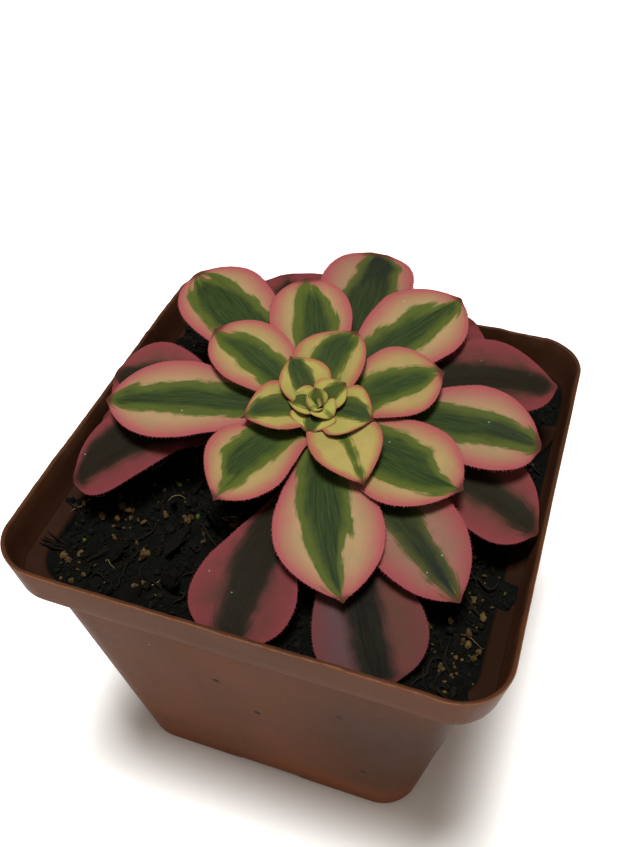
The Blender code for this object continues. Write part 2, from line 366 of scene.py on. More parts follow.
# %% Profile of the wall
POT_PROFILE = [  # half width, corner radius, height and fillet radius, all in mm
    (27.2, 5.2, 1.6, 0.0), (28.2, 5.8, 1.6, 0.3), (29.0, 6.4, 0.0, 0.3),
    (31.2, 8.0, 0.0, 0.3), (31.7, 8.3, 0.6, 0.3), (40.45, 7.4, 65.0, 0.35),
    (43.7, 8.6, 65.0, 0.45), (45.0, 9.3, 74.0, 0.36), (44.2, 8.5, 74.0, 0.36),
    (42.9, 7.8, 65.8, 0.5), (39.75, 6.6, 65.8, 0.6), (30.95, 7.5, 1.1, 0.4),
    (30.5, 7.1, 0.8, 0.2), (29.6, 6.2, 0.8, 0.3), (28.8, 5.6, 2.4, 0.3), (27.2, 5.2, 2.4, 0.0),
]


def fillet_profile(corners, step=2.6, arc_steps=5):
    """Closed profile with round corners: each corner is replaced by a curve between
    the points one fillet radius before and after it, bent towards it, and the straight
    runs between are cut into even steps. Returns half width, corner radius and height."""
    corners = np.array(corners)
    places, fillets = corners[:, :3], corners[:, 3]
    parts = []
    for index, place in enumerate(places):
        before, after = places[index - 1], places[(index + 1) % len(places)]
        to_before, to_after = before - place, after - place
        size_before, size_after = (np.hypot(v[0], v[2]) for v in (to_before, to_after))
        start = place + to_before * fillets[index] / size_before
        end = place + to_after * fillets[index] / size_after
        t = np.linspace(0.0, 1.0, arc_steps if fillets[index] else 1)[:, None]
        parts.append((1 - t) ** 2 * start + 2 * t * (1 - t) * place + t**2 * end)
        following = places[(index + 1) % len(places)]
        stop = following - to_after * fillets[(index + 1) % len(places)] / size_after
        count = int(np.hypot(*(stop - end)[[0, 2]]) / step)
        t = np.arange(1, count + 1)[:, None] / (count + 1)
        parts.append(end * (1 - t) + stop * t)
    return np.concatenate(parts).T


profile = fillet_profile(POT_PROFILE)
print("pot profile:", profile.shape[1], "points")


# %% Plan of the wall
def square_plan(side_steps=72, corner_steps=16):
    """Unit plan of a square with round corners: along (the place on the straight inner
    square) and out (the direction of the corner circle). A point of a ring lies at
    (half - radius) * along + radius * out."""
    across = np.linspace(-1.0, 1.0, side_steps, endpoint=False)
    turn = np.linspace(0.0, math.pi / 2, corner_steps, endpoint=False)
    along = np.concatenate([np.stack([np.ones_like(across), across], 1),
                            np.ones((corner_steps, 2))])
    out = np.concatenate([np.tile([1.0, 0.0], (side_steps, 1)), circle(turn)])
    quarter = np.array([[0.0, 1.0], [-1.0, 0.0]])
    turns = [np.linalg.matrix_power(quarter, n) for n in range(4)]
    return tuple(np.concatenate([plan @ turn for turn in turns]) for plan in (along, out))


# %% [markdown]
# The mould leaves a low flat arch in the middle of each side of the foot, the thin walls
# wave by a tenth of a millimetre, and the lip carries a ragged line of flash where the
# two halves of the mould met, with a few burrs along the front.
#
# Two numbers are worked out for each point beside its place. One is 1 along the worn
# outer edge of the lip, where the paler line is also a painted highlight. The other is
# the share of painted shade on the plastic: nothing on the outside, some on the inner
# walls and the lip's top, most on the ledge.

# %% Walls of the pot
LEDGE = 65.8
ARCH_HALF, ARCH_END, ARCH_HEIGHT = 7.4, 0.7, 0.75
BURR_HALF = 0.7
BURRS = (  # place along the front of the lip and height, in mm
    (-27.0, 0.15), (-16.0, 0.12), (16.6, 0.28), (18.2, 0.2), (37.6, 0.25), (39.4, 0.3))
# Shares of painted shade on the inner walls, the ledge and the lip's top.
PAINTED_SHADE_WALL, PAINTED_SHADE_LEDGE, PAINTED_SHADE_LIP = 0.58, 1.06, 0.62


def pot_points(profile, along, out):
    """Rings of the profile round the plan, with their edge and inside numbers. Waves
    move the wall outwards by noise. The arch is flat, with steep ends, and fades over
    the lowest 1.6 mm. Noise and bell curves lift the lip. The edge number is a bell of
    the distance from the lip's outer corner."""
    half, radius, height = (part[:, None] for part in profile)
    x = (half - radius) * along[:, 0] + radius * out[:, 0]
    y = (half - radius) * along[:, 1] + radius * out[:, 1]
    z = height + 0.0 * x
    wall = unit((height - 4.0) / 20.0)
    wave = wall * 0.16 * fractal(x + 0.35 * z, y - 0.6 * z, 22.0, 11)
    x, y = x + wave * out[:, 0], y + wave * out[:, 1]
    sideways = np.where(np.abs(out[:, 0]) > 0.5, y, x)
    arch = ARCH_HEIGHT * unit((ARCH_HALF - np.abs(sideways)) / ARCH_END)
    z = z + arch * unit(1.0 - height / 1.6) * (half > 28.5)
    lip = unit((height - 73.5) / 0.4)
    ragged = 0.12 * value_noise(x + 40, y - 40, 3.0, 5) + 0.1 * value_noise(x, y, 0.9, 6)
    flash = 0.35 * unit(value_noise(x * 1.3, y, 2.4, 9) - 0.62) / 0.38
    burrs = sum(size * np.exp(-(((x - spot) / BURR_HALF) ** 2)) for spot, size in BURRS)
    z = z + lip * (ragged + flash - 0.12 + burrs * (y < -43.0) * (half > 44.5))
    # 1 along the lip's worn outer edge, which also carries a painted highlight.
    edge = np.exp(-((half - 44.92) ** 2 + (height - 73.88) ** 2) / 0.035) + 0.0 * x
    inner = np.arange(len(half)) > np.argmax(profile[2]) + 2
    # Painted shade inside the pot: some on the inner walls and the lip's top, most on the ledge.
    inside = np.where(inner, PAINTED_SHADE_WALL, 0.0)[:, None]
    inside = np.where((np.abs(height - LEDGE) < 0.4) & (inside > 0), PAINTED_SHADE_LEDGE, inside)
    inside = np.where((height > 73.8) & (half < 44.85), PAINTED_SHADE_LIP, inside) + 0.0 * x
    return np.stack([x, y, z], -1).reshape(-1, 3), edge.ravel(), inside.ravel()


along, out = square_plan()
wall_points, wall_edge, wall_inside = pot_points(profile, along, out)
rings, columns = profile.shape[1], len(along)
wall_faces = grid_faces(rings + 1, columns, closed=True) % (rings * columns)
print("pot wall:", rings, "rings of", columns, "points")

# %% [markdown]
# The floor is a thin plate with nine round drainage holes in a square pattern. Each hole
# has a cell of its own, a ring of faces between the circle and the cell's square edge,
# so nothing has to be cut.

# %% Floor with drainage holes
def floor_plate(radius=3.6, pitch=17.5, half=27.4, corner=5.4, low=1.63, high=2.37, steps=32):
    """Nine cells. The inner ring of a cell is a circle, the outer ring the same
    directions carried out to a square, and the outer cells reach the plate's edge,
    whose corners are drawn in to a circle."""
    round_hole = circle(np.arange(steps) * math.tau / steps)
    square = round_hole / np.abs(round_hole).max(1, keepdims=True)
    cells = np.array([(i, j) for i in (-1, 0, 1) for j in (-1, 0, 1)])[:, None, :]
    inner = cells * pitch + radius * round_hole
    outer = cells * pitch + 0.5 * pitch * square
    outer = np.where(np.abs(outer) > 1.49 * pitch, np.sign(outer) * half, outer)
    is_rim = np.isclose(np.abs(outer), half)
    on_rim = (is_rim & np.roll(is_rim, -1, 1)).any(2).ravel()
    outer = drawn_in(outer, half, corner)
    count = 9 * steps
    rows = [(outer, low), (inner, low), (inner, high), (outer, high)]
    points = np.concatenate([
        np.concatenate([flat.reshape(-1, 2), np.full((count, 1), z)], 1) for flat, z in rows])
    here = np.arange(count)
    following = here // steps * steps + (here + 1) % steps
    rings = [np.stack([here + a * count, following + a * count,
                       following + b * count, here + b * count], 1)
             for a, b in ((0, 1), (1, 2), (2, 3), (3, 0))]
    rings[3] = rings[3][on_rim]
    return points, np.concatenate(rings)[:, ::-1]


floor_points, floor_faces = floor_plate()
print("pot floor:", len(floor_faces), "faces around 9 holes")

# %% [markdown]
# ### Pot plastic
# Terracotta brown polypropylene is dark and warm by itself, and shines only faintly. On
# it lie upright streaks of flow, a painted greyish sheen on the upper walls, painted
# shade by the front right foot, an orange band along the foot that is a painted
# reflection of the pot's dark contact shadow, a paler, scuffed line along the lip that is
# also a painted highlight, small dark and white specks, and painted shade on the inside.

# %% Pot plastic
POT_SPOTS = (  # places of single dark spots on the front, in metres
    (-0.0070, -0.0376, 0.0436), (0.0002, -0.0361, 0.0333),
    (0.0173, -0.0377, 0.0446), (0.0216, -0.0341, 0.0185))
# Middle of the painted shade at the front right corner, in metres.
DARK_CORNER = (0.035, -0.035, 0.03)
# Of the tints, the greyish one is a painted sheen, the dark corner one painted shade, the orange
# foot one a painted reflection of the dark contact shadow, the pale lip one wear and a painted
# highlight, and the darkest one painted shade inside the pot.
PLASTIC = {
    "deep": (0.082, 0.0285, 0.0125), "plain": (0.120, 0.0445, 0.021),
    "streak": (0.135, 0.054, 0.027), "painted_sheen": (0.098, 0.048, 0.031),
    "corner": (0.040, 0.018, 0.010), "foot": (0.150, 0.046, 0.018),
    "scuff_and_highlight": (0.24, 0.10, 0.052), "spot": (0.026, 0.009, 0.005),
    "dust": (0.5, 0.46, 0.4), "painted_inner_shade": (0.014, 0.0062, 0.0034),
}


def pot_plastic():
    """Brown mottled by noise, then a list of tints laid over it in turn, each with its
    mask: streaks, painted sheen, painted corner shade and the foot's painted reflection by
    place and noise, the lip's wear and painted highlight and the painted inner shade by the
    mesh's own numbers, specks by the shared group and spots by distance."""
    material, tree, shader = new_material("pot_plastic", IOR=1.2, Specular_IOR_Level=0.09)
    place_at = object_place(tree)
    height = put(tree, "ShaderNodeSeparateXYZ", [place_at]).outputs[2]
    cloud = noise(tree, place_at, 38.0, 4.0, 0.6)
    worn = noise(tree, place_at, 21.0, 2.0)
    grain = use_group(tree, GRAIN, [place_at, 700.0, 0.5])
    streaks = noise(tree, place_at, (900.0, 900.0, 60.0), 2.0)
    corner = distance(tree, place_at, DARK_CORNER)
    spots = use_group(tree, SPECKS, [place_at, 210.0, 0.09, 0.12])
    for spot in POT_SPOTS:
        gap = distance(tree, place_at, spot)
        spots = maths(tree, "MAXIMUM", spots, ease(tree, gap, 0.0006, 0.0009, 1.0, 0.0))
    elsewhere = mapped(tree, place_at, offset=(0.3, 0.1, 0.2))
    dust = use_group(tree, SPECKS, [elsewhere, 260.0, 0.05, 0.10])
    # Painted shade inside the pot, by the mesh's inside numbers.
    painted_inner_shade = times(tree, attribute(tree, "inside"), ease(tree, cloud, 0.25, 0.75, 1.0, 0.85))
    colour = blend(tree, ease(tree, cloud, 0.3, 0.7), PLASTIC["deep"], PLASTIC["plain"])
    for mask, tint in (
            (ease(tree, streaks, 0.55, 0.8, 0.0, 0.25), "streak"),
            # Painted sheen: a greyish tint in patches over the upper walls.
            (times(tree, ease(tree, worn, 0.42, 0.62, 0.1, 0.28),
                   ease(tree, height, 0.02, 0.05)), "painted_sheen"),
            # Painted shade at the front right corner.
            (ease(tree, corner, 0.010, 0.040, 0.75, 0.0), "corner"),
            # Painted reflection: the foot mirrors its own dark contact shadow, so it keeps the
            # plain orange.
            (times(tree, ease(tree, height, 0.004, 0.012, 0.8, 0.0),
                   ease(tree, worn, 0.4, 0.6, 0.3, 1.0)), "foot"),
            # Wear and a painted highlight along the lip's round outer edge.
            (times(tree, attribute(tree, "lip"), ease(tree, grain, 0.35, 0.6, 0.3, 1.0)),
             "scuff_and_highlight"),
            (spots, "spot"), (times(tree, dust, 0.7), "dust"),
            (maths(tree, "MINIMUM", 1.0, painted_inner_shade), "painted_inner_shade")):
        colour = blend(tree, mask, colour, PLASTIC[tint])
    link(tree, colour, shader, "Base Color")
    satin = maths(tree, "ADD", ease(tree, cloud, 0.35, 0.7, 0.34, 0.44),
                  ease(tree, grain, 0.3, 0.7, -0.04, 0.05))
    link(tree, satin, shader, "Roughness")
    bump(tree, shader, maths(tree, "ADD", grain, times(tree, cloud, 2.0)), 0.00006)
    return material


pot_mesh = make_mesh("pot_shell",
                     np.concatenate([wall_points, floor_points]) * MM,
                     [wall_faces, floor_faces + len(wall_points)],
                     {"lip": np.concatenate([wall_edge, np.zeros(len(floor_points))]),
                      "inside": np.concatenate([wall_inside, np.zeros(len(floor_points))])})
place("pot_shell", pot_mesh, pot_plastic(), "pot_plastic", "pot")
print("pot:", len(pot_mesh.polygons), "faces")

# %% [markdown]
# ## The soil
# Dark peat mix fills the pot up to its ledge and spills over parts of it. Its body is a
# height field: a smooth dish with lumps of several sizes. Loose matter then lies on it,
# in several kinds: crumbs, tan grains, bits of moss, bark chips, dark fibres and pale
# roots.

# %% Height of the soil
SOIL_HALF, SOIL_CORNER = 42.6, 7.6
BARE_LEDGE = (  # side, middle along y and size of the stretches that stay bare, in mm
    (-1.0, -34.5, 10.5), (1.0, -8.0, 6.0), (1.0, -29.5, 6.5))


def outwards(x, y, half=39.75, corner=6.6):
    """Distance past the pot's inner wall: negative inside it, up to 3 on the ledge."""
    over_x = np.maximum(np.abs(x) - (half - corner), 0.0)
    over_y = np.maximum(np.abs(y) - (half - corner), 0.0)
    return np.where((over_x > 0) & (over_y > 0), np.hypot(over_x, over_y),
                    np.maximum(over_x, over_y)) - corner


def spill(x, y):
    """Share of the ledge that soil covers, from 0 to 1: patches from noise, less round
    bumps that keep the front left corner and two stretches on the right bare."""
    patch = 0.45 + 0.8 * value_noise(x, y, 5.0, 21) + 0.3 * value_noise(x, y, 1.8, 22)
    for side, middle, size in BARE_LEDGE:
        bare = unit(1.3 - ((y - middle) / size) ** 2) * (side * x > 30.0)
        patch = patch - 2.6 * bare
    return unit(patch * 3.0)


def soil_top(x, y):
    """Height of the soil: a dish, lumps of three sizes, a fall to just under the ledge
    at the wall, and spilled soil on the ledge itself."""
    middle = unit(1.0 - np.hypot(x, y) / 39.0)
    lumps = 0.75 * fractal(x, y, 9.0, 31) + 0.4 * fractal(x, y, 2.6, 41, 2)
    inside = 64.7 - 1.2 * middle + lumps
    past = outwards(x, y)
    covered = spill(x, y) * unit((past + 3.0) / 3.0)
    ledge = np.where(past > -0.15, 65.3, inside)
    mound = 66.0 + 0.3 * lumps + 0.1 * np.clip(past, -1.0, 2.0)
    return ledge + (np.maximum(mound, ledge) - ledge) * covered


print("soil in the middle at", round(float(soil_top(0.0, 0.0)), 1), "mm")

# %% Body of the soil
SOIL_SIDES = (  # share of the top's outline and height, from the ledge to the floor
    (0.997, 65.25), (0.922, 65.12), (0.912, 62.0), (0.705, 2.9))


def soil_body(cells=170):
    """Closed body: a square grid with its corners drawn in, set to the soil's height,
    then rings that go in under the ledge, down the walls and across the floor."""
    side = np.linspace(-SOIL_HALF, SOIL_HALF, cells)
    square = np.stack(np.meshgrid(side, side, indexing="ij"), -1).reshape(-1, 2)
    x, y = drawn_in(square, SOIL_HALF, SOIL_CORNER).T
    top = np.stack([x, y, soil_top(x, y)], 1)
    number = np.arange(cells * cells).reshape(cells, cells)
    rim = np.concatenate([number[:-1, 0], number[-1, :-1], number[:0:-1, -1], number[0, :0:-1]])
    rings = [np.concatenate([top[rim, :2] * share, np.full((len(rim), 1), z)], 1)
             for share, z in SOIL_SIDES]
    points = np.concatenate([top, *rings, [[0.0, 0.0, SOIL_SIDES[-1][1]]]])
    lower = len(top) + np.arange(len(rings) * len(rim))
    upper = np.concatenate([rim, lower]).reshape(len(rings) + 1, -1)
    far = np.roll(upper, -1, 1)
    skirt = np.stack([upper[:-1], upper[1:], far[1:], far[:-1]], -1).reshape(-1, 4)
    return points, grid_faces(cells, cells), skirt, cap_faces(upper[-1], len(points) - 1, True)


soil_points, soil_faces, skirt_faces, bottom_faces = soil_body()
print("soil body:", len(soil_points), "points")

# %% [markdown]
# ### Soil finish
# Damp peat is almost black. Here the peat, crumbs and grains are darker still, which is
# painted shade from the leaves and the rim above. Its colour moves between black and a
# deep brown in small patches, with rare tan and ochre dots of the mix's sand, and it
# hardly shines.

# %% Soil materials
def soil_finish(name, dark, light, scale, roughness=0.88):
    """Two tones mixed by grain, a tone of its own for each loose piece, dots of sand,
    and a rough bump."""
    material, tree, shader = new_material(name, Specular_IOR_Level=0.06)
    place_at = object_place(tree)
    grain = use_group(tree, GRAIN, [place_at, scale, 0.5])
    share = maths(tree, "MULTIPLY_ADD", ease(tree, grain, 0.3, 0.72), 0.65,
                  times(tree, attribute(tree, "tone"), 0.35))
    sand = use_group(tree, SPECKS, [place_at, 900.0, 0.10, 0.22])
    colour = blend(tree, share, dark, light)
    colour = blend(tree, times(tree, sand, 0.5), colour, (0.16, 0.10, 0.045))
    link(tree, colour, shader, "Base Color")
    rough = ease(tree, grain, 0.3, 0.7, roughness + 0.06, roughness - 0.12)
    link(tree, rough, shader, "Roughness")
    bump(tree, shader, grain, 0.0004)
    return material


# The peat, crumb and grain colours hold painted shade from the leaves and the rim above, besides
# their own dark tones.
SOIL_FINISHES = (
    ("peat", (0.0006, 0.0008, 0.0006), (0.0038, 0.0040, 0.0028), 520.0),
    ("crumbs", (0.0008, 0.0010, 0.0008), (0.011, 0.0092, 0.0055), 900.0),
    ("grains", (0.020, 0.011, 0.0045), (0.125, 0.076, 0.029), 1500.0),
    ("moss", (0.02, 0.035, 0.006), (0.09, 0.12, 0.02), 900.0),
    ("bark", (0.0010, 0.0008, 0.0008), (0.0060, 0.0042, 0.0038), 800.0, 0.85),
    ("fibres", (0.0025, 0.002, 0.0016), (0.014, 0.0105, 0.007), 900.0, 0.8),
    ("roots", (0.10, 0.075, 0.035), (0.26, 0.21, 0.10), 900.0, 0.7),
)
soil = {name: soil_finish("soil_" + name, *values) for name, *values in SOIL_FINISHES}
soil_mesh = make_mesh("soil_body", soil_points * MM, [soil_faces, skirt_faces, bottom_faces],
                      {"tone": np.zeros(len(soil_points))})
place("soil_body", soil_mesh, soil["peat"], "soil", "soil")

# %% [markdown]
# ### Loose matter on the soil
# Thousands of small bodies lie about, so each starts from a ball of only 20 or 80 faces.
# One array call stretches, dents, turns and places all of them at once.

# %% Scattered bodies
def ball(subdivisions):
    """Points and triangles of a unit ball."""
    shape = bmesh.new()
    bmesh.ops.create_icosphere(shape, subdivisions=subdivisions, radius=1.0)
    points = np.array([vert.co for vert in shape.verts])
    faces = np.array([[vert.index for vert in face.verts] for face in shape.faces])
    shape.free()
    return points, faces


def turn_matrices(random, count, tilt=1.0):
    """Turns drawn from quaternions. A small tilt keeps the bodies nearly flat."""
    q = random.normal(size=(count, 4)) * (1.0, tilt, tilt, 1.0)
    w, x, y, z = unit_length(q).T
    rows = [[1 - 2 * (y * y + z * z), 2 * (x * y - z * w), 2 * (x * z + y * w)],
            [2 * (x * y + z * w), 1 - 2 * (x * x + z * z), 2 * (y * z - x * w)],
            [2 * (x * z - y * w), 2 * (y * z + x * w), 1 - 2 * (x * x + y * y)]]
    return np.array(rows).transpose(2, 0, 1)


def scatter(name, spots, size, shape, material, seed, subdivisions=1, tilt=1.0, sink=0.25):
    """Copies of the ball: dented by random radii, stretched to size times shape, turned,
    and set on the soil at the spots, sunk by a share of their size."""
    random = np.random.default_rng(seed)
    points, faces = ball(subdivisions)
    count = len(spots)
    dents = random.uniform(0.72, 1.18, (count, len(points), 1))
    stretch = np.asarray(size)[:, None] * shape * random.uniform(0.75, 1.25, (count, 3))
    copies = points * dents * stretch[:, None, :]
    copies = np.einsum("nij,nkj->nki", turn_matrices(random, count, tilt), copies)
    height = soil_top(spots[:, 0], spots[:, 1])
    low = copies[..., 2].min(1)
    lift = height - low * (1.0 - 2.0 * sink)
    copies = copies + np.stack([spots[:, 0], spots[:, 1], lift], 1)[:, None, :]
    faces = repeated_faces(faces, count, len(points))
    tone = np.repeat(random.uniform(0.0, 1.0, count), len(points))
    mesh = make_mesh(name, copies.reshape(-1, 3) * MM, [faces], {"tone": tone}, smooth=False)
    print(name + ":", count, "bodies,", len(faces), "faces")
    return place(name, mesh, material, "soil")


def spots_on_soil(random, count, half=41.5):
    """Random places on the soil, those on the bare ledge and by the stem left out."""
    spots = random.uniform(-half, half, (count * 2, 2))
    past = outwards(*spots.T)
    good = (past < -0.8) | ((past < 2.2) & (spill(*spots.T) > 0.6))
    good &= np.hypot(*spots.T) > 9.0
    return spots[good][:count]


# %% [markdown]
# Crumbs and moss lie anywhere. Most of the tan grains lie in clusters on the left and
# along the right side, and a few large bark chips lie at the front. Chips keep away from
# the lowest leaf tips.

# %% Where loose matter lies
CLUSTERS = (  # middle, spread in mm and number of grains
    ((-33.2, -35.0), 1.7, 7), ((-36.0, -33.8), 0.8, 3), ((-30.5, -22.0), 2.0, 8),
    ((-33.5, -17.2), 0.7, 3), ((-27.0, -22.0), 0.5, 2), ((-22.8, -18.8), 0.6, 3),
    ((-18.8, -18.5), 0.4, 2), ((-10.5, -16.2), 0.6, 3), ((-13.1, -12.4), 0.8, 4),
    ((-23.2, -28.9), 0.8, 4), ((-22.2, -36.4), 0.8, 3), ((34.0, -10.0), 1.8, 8),
    ((37.5, -20.0), 1.6, 9), ((36.5, -29.0), 2.2, 10), ((35.5, -36.0), 2.2, 11),
    ((30.0, -31.0), 3.2, 9),
)
LOW_TIPS = ((-4.0, -37.0), (22.0, -38.0), (-36.0, -22.0), (40.0, -10.0))
LARGE_CHIPS = ((-14.4, -18.0), (-18.6, -23.9), (-15.8, -33.3), (-21.5, -36.6))
LARGE_CHIP_SIZES = (2.2, 2.4, 2.2, 2.2)


def clear_of_tips(spots, reach=9.0):
    """Spots that no low leaf tip would touch."""
    gap = np.linalg.norm(spots[:, None] - np.array(LOW_TIPS), axis=2).min(1)
    return spots[gap > reach]


print("clustered grains:", sum(count for _, _, count in CLUSTERS))

# %% Crumbs, grains and bark
random = np.random.default_rng(7)
crumbs = spots_on_soil(random, 4600)
scatter("soil_crumbs", crumbs, 0.22 + 0.7 * random.random(len(crumbs)) ** 4, (1, 1, 0.8),
        soil["crumbs"], 71)
strays = spots_on_soil(random, 110)
clusters = np.concatenate([np.array(middle) + random.normal(0.0, spread, (count, 2))
                           for middle, spread, count in CLUSTERS])
clusters = clusters[outwards(*clusters.T) < -0.3]
grains = np.concatenate([strays, clusters])
scatter("soil_grains", grains, 0.26 + 0.55 * random.random(len(grains)) ** 1.8,
        (1.2, 1.0, 0.75), soil["grains"], 72, 2, sink=0.1)
mossy = spots_on_soil(random, 34)
scatter("soil_moss", mossy, 0.3 + 0.4 * random.random(len(mossy)), (1, 1, 0.7),
        soil["moss"], 73)
chips = clear_of_tips(spots_on_soil(random, 44, 36.0))
chip_sizes = np.concatenate([0.7 + 1.0 * random.random(len(chips)), LARGE_CHIP_SIZES])
chips = np.concatenate([chips, LARGE_CHIPS])
scatter("soil_bark", chips, chip_sizes, (1.7, 0.8, 0.28), soil["bark"], 74, 2,
        tilt=0.22, sink=0.1)

# %% [markdown]
# Coarse fibres, thin roots and bits of dry stalk lie across the crumbs. Each is a thin
# tube along a curve that bends steadily and rides on the soil's height.

# %% Fibres and roots
def strands(name, count, length, thickness, material, seed, steps=12, sides=5, starts=None):
    """Tubes: from its start each strand's heading turns at a steady rate plus a wave,
    its height is the soil's plus a low arc, and a ring of points goes round each step.
    Given starts, the strands lie side by side and point to the left."""
    random = np.random.default_rng(seed)
    start = spots_on_soil(random, count, 38.0) if starts is None else np.array(starts)
    count = len(start)
    size = random.uniform(*length, (count, 1))
    t = np.linspace(0.0, 1.0, steps)
    heading = random.uniform(0, math.tau, (count, 1)) + random.normal(0, 1.3, (count, 1)) * t
    wave = random.normal(0, 0.8, (count, 1))
    heading = heading + wave * np.sin(t * random.uniform(3, 9, (count, 1)))
    if starts is not None:
        heading = math.pi + random.normal(0, 0.12, (count, 1)) + 0.3 * np.sin(t * 5.0)
    step = size / (steps - 1)
    x = start[:, :1] + np.cumsum(np.cos(heading) * step, 1)
    y = start[:, 1:] + np.cumsum(np.sin(heading) * step, 1)
    stay = (outwards(x, y).max(1) < 2.8) & (np.hypot(x, y).min(1) > 8.0)
    x, y, heading = x[stay], y[stay], heading[stay]
    count = len(x)
    radius = random.uniform(*thickness, (count, 1)) * (1.0 - 0.7 * np.abs(2 * t - 1) ** 3)
    floor = np.where(outwards(x, y) > -0.4, np.maximum(soil_top(x, y), LEDGE), soil_top(x, y))
    z = floor + radius + random.uniform(0.0, 0.9, (count, 1)) * np.sin(math.pi * t)
    turn = np.arange(sides) * math.tau / sides
    ring = radius[..., None] * np.stack([np.cos(turn), np.sin(turn)])[:, None, None, :]
    points = np.stack([x[..., None] - np.sin(heading)[..., None] * ring[0],
                       y[..., None] + np.cos(heading)[..., None] * ring[0],
                       z[..., None] + ring[1]], -1)
    each = steps * sides
    tube = grid_faces(steps, sides, closed=True)
    ends = np.array([np.arange(sides)[::-1], (steps - 1) * sides + np.arange(sides)])
    tone = np.repeat(random.random(count), each)
    faces = [repeated_faces(part, count, each)[:, ::-1] for part in (tube, ends)]
    mesh = make_mesh(name, points.reshape(-1, 3) * MM, faces, {"tone": tone})
    print(name + ":", count, "strands,", len(mesh.polygons), "faces")
    return place(name, mesh, material, "soil")


strands("soil_fibres", 330, (3.0, 11.0), (0.10, 0.30), soil["fibres"], 81)
strands("soil_roots", 46, (3.0, 9.0), (0.05, 0.11), soil["roots"], 82)
bundles = [(x, y + 0.16 * n) for x, y in ((-36.5, -32.6), (-37.0, -28.4)) for n in range(9)]
strands("soil_ledge_fibres", 0, (4.0, 7.5), (0.10, 0.24), soil["fibres"], 83,
        starts=bundles)

# %% [markdown]
# ## The stem
# The stem is short, woody and hidden below the leaves. Old leaves left scars round it,
# so its profile carries low rings, and it is turned about the rosette's leaning axis.

# %% Frame of the rosette
CROWN = np.array([0.0, 1.3, 82.0])
CROWN_LEAN = math.radians(10.8)
LEAF_BASE_TOP, LEAF_BASE_STEP = -2.0, 0.34
BASE_RADIUS, BASE_GROWTH, BASE_RANKS = 0.5, 5.0, 6.0


def from_rosette(points, azimuth=0.0):
    """Points of the rosette's frame, turned about its axis, leant forwards and set on
    the crown."""
    turn = np.array(Matrix.Rotation(azimuth, 3, "Z"))
    lean = np.array(Matrix.Rotation(CROWN_LEAN, 3, "X"))
    return points @ (lean @ turn).T + CROWN


def leaf_base(rank):
    """Radius and height on the rosette's axis where a leaf joins the stem. The radius
    grows quickly at first and then levels off, the height falls by even steps."""
    radius = BASE_RADIUS + BASE_GROWTH * (1.0 - np.exp(-np.asarray(rank) / BASE_RANKS))
    return radius, LEAF_BASE_TOP - LEAF_BASE_STEP * rank


print("first and last joint:", [np.round(leaf_base(rank), 1).tolist() for rank in (0, 39)])

# %% Stem
STEM_TOP, STEM_FOOT = -6.0, -25.0
STEM_GAP, SCAR_DEPTH = 0.4, 0.16


def stem_surface(rows=90, columns=40):
    """Profile turned about the axis: the leaf bases' radius less a gap, narrower at the
    top and the foot, rings of scars as a sine of the height and of the turn, and closed
    ends."""
    height = np.linspace(STEM_TOP, STEM_FOOT, rows)
    rank = np.clip((LEAF_BASE_TOP - height) / LEAF_BASE_STEP, 0.0, 40.0)
    radius = (leaf_base(rank)[0] - STEM_GAP) * np.clip((-5.6 - height) / 4.0, 0.1, 1.0)
    radius = radius * np.where(height < -20, 1 + (height + 20) * 0.06, 1)
    radius, height, rank = (part[:, None] for part in (radius, height, rank))
    turn = np.linspace(0.0, math.tau, columns, endpoint=False)
    scars = SCAR_DEPTH * np.sin(height * 4.2 + 3 * np.sin(turn)) * unit(rank / 20)
    radius = radius + scars - SCAR_DEPTH
    points = np.stack([radius * np.cos(turn), radius * np.sin(turn), height + 0 * turn], -1)
    ends = [[0, 0, STEM_TOP + 0.1], [0, 0, STEM_FOOT - 0.1]]
    points = np.concatenate([points.reshape(-1, 3), ends])
    ring = np.arange(columns)
    return points, [grid_faces(rows, columns, closed=True)[:, ::-1],
                    cap_faces(ring, len(points) - 2),
                    cap_faces(ring + (rows - 1) * columns, len(points) - 1, True)]


def stem_bark():
    """Brown bark with rings and a rough, dry bump."""
    material, tree, shader = new_material("stem_bark", Specular_IOR_Level=0.25, Roughness=0.8)
    place_at = object_place(tree)
    rings = noise(tree, place_at, (250.0, 250.0, 1400.0))
    grain = use_group(tree, GRAIN, [place_at, 900.0, 0.4])
    colour = blend(tree, ease(tree, rings, 0.3, 0.7), (0.05, 0.035, 0.018), (0.17, 0.12, 0.06))
    colour = blend(tree, ease(tree, grain, 0.5, 0.8, 0.0, 0.6), colour, (0.10, 0.10, 0.04))
    link(tree, colour, shader, "Base Color")
    bump(tree, shader, maths(tree, "ADD", rings, grain), 0.0003)
    return material


stem_points, stem_faces = stem_surface()
stem_mesh = make_mesh("stem_bark", from_rosette(stem_points) * MM, stem_faces)
place("stem", stem_mesh, stem_bark(), "stem_bark", "stem")
print("stem:", len(stem_mesh.polygons), "faces")

# %% [markdown]
# ## The leaves
# Each leaf is a spoon: a narrow neck, a broad blade and a small pointed tip. Its upper
# side is one surface of two parameters, the way along the midrib and the way across. It
# could be a sculpted or subdivided cage, but a formula lets every leaf share one law,
# and gives each point its distance from the margin and from the green streak, which the
# leaf's pattern needs.
#
# One row holds what makes a leaf its own, under its rank, which counts from the bud: its
# turn off the golden spiral in degrees, the reach and rise of its tip, width and sideways
# bow in millimetres, roll in degrees and point, then its age from 0 to 1, how much of
# the blade's left and right half the green streak fills, and how far along the leaf each
# half of the streak ends. Ranks that are missing were shed.

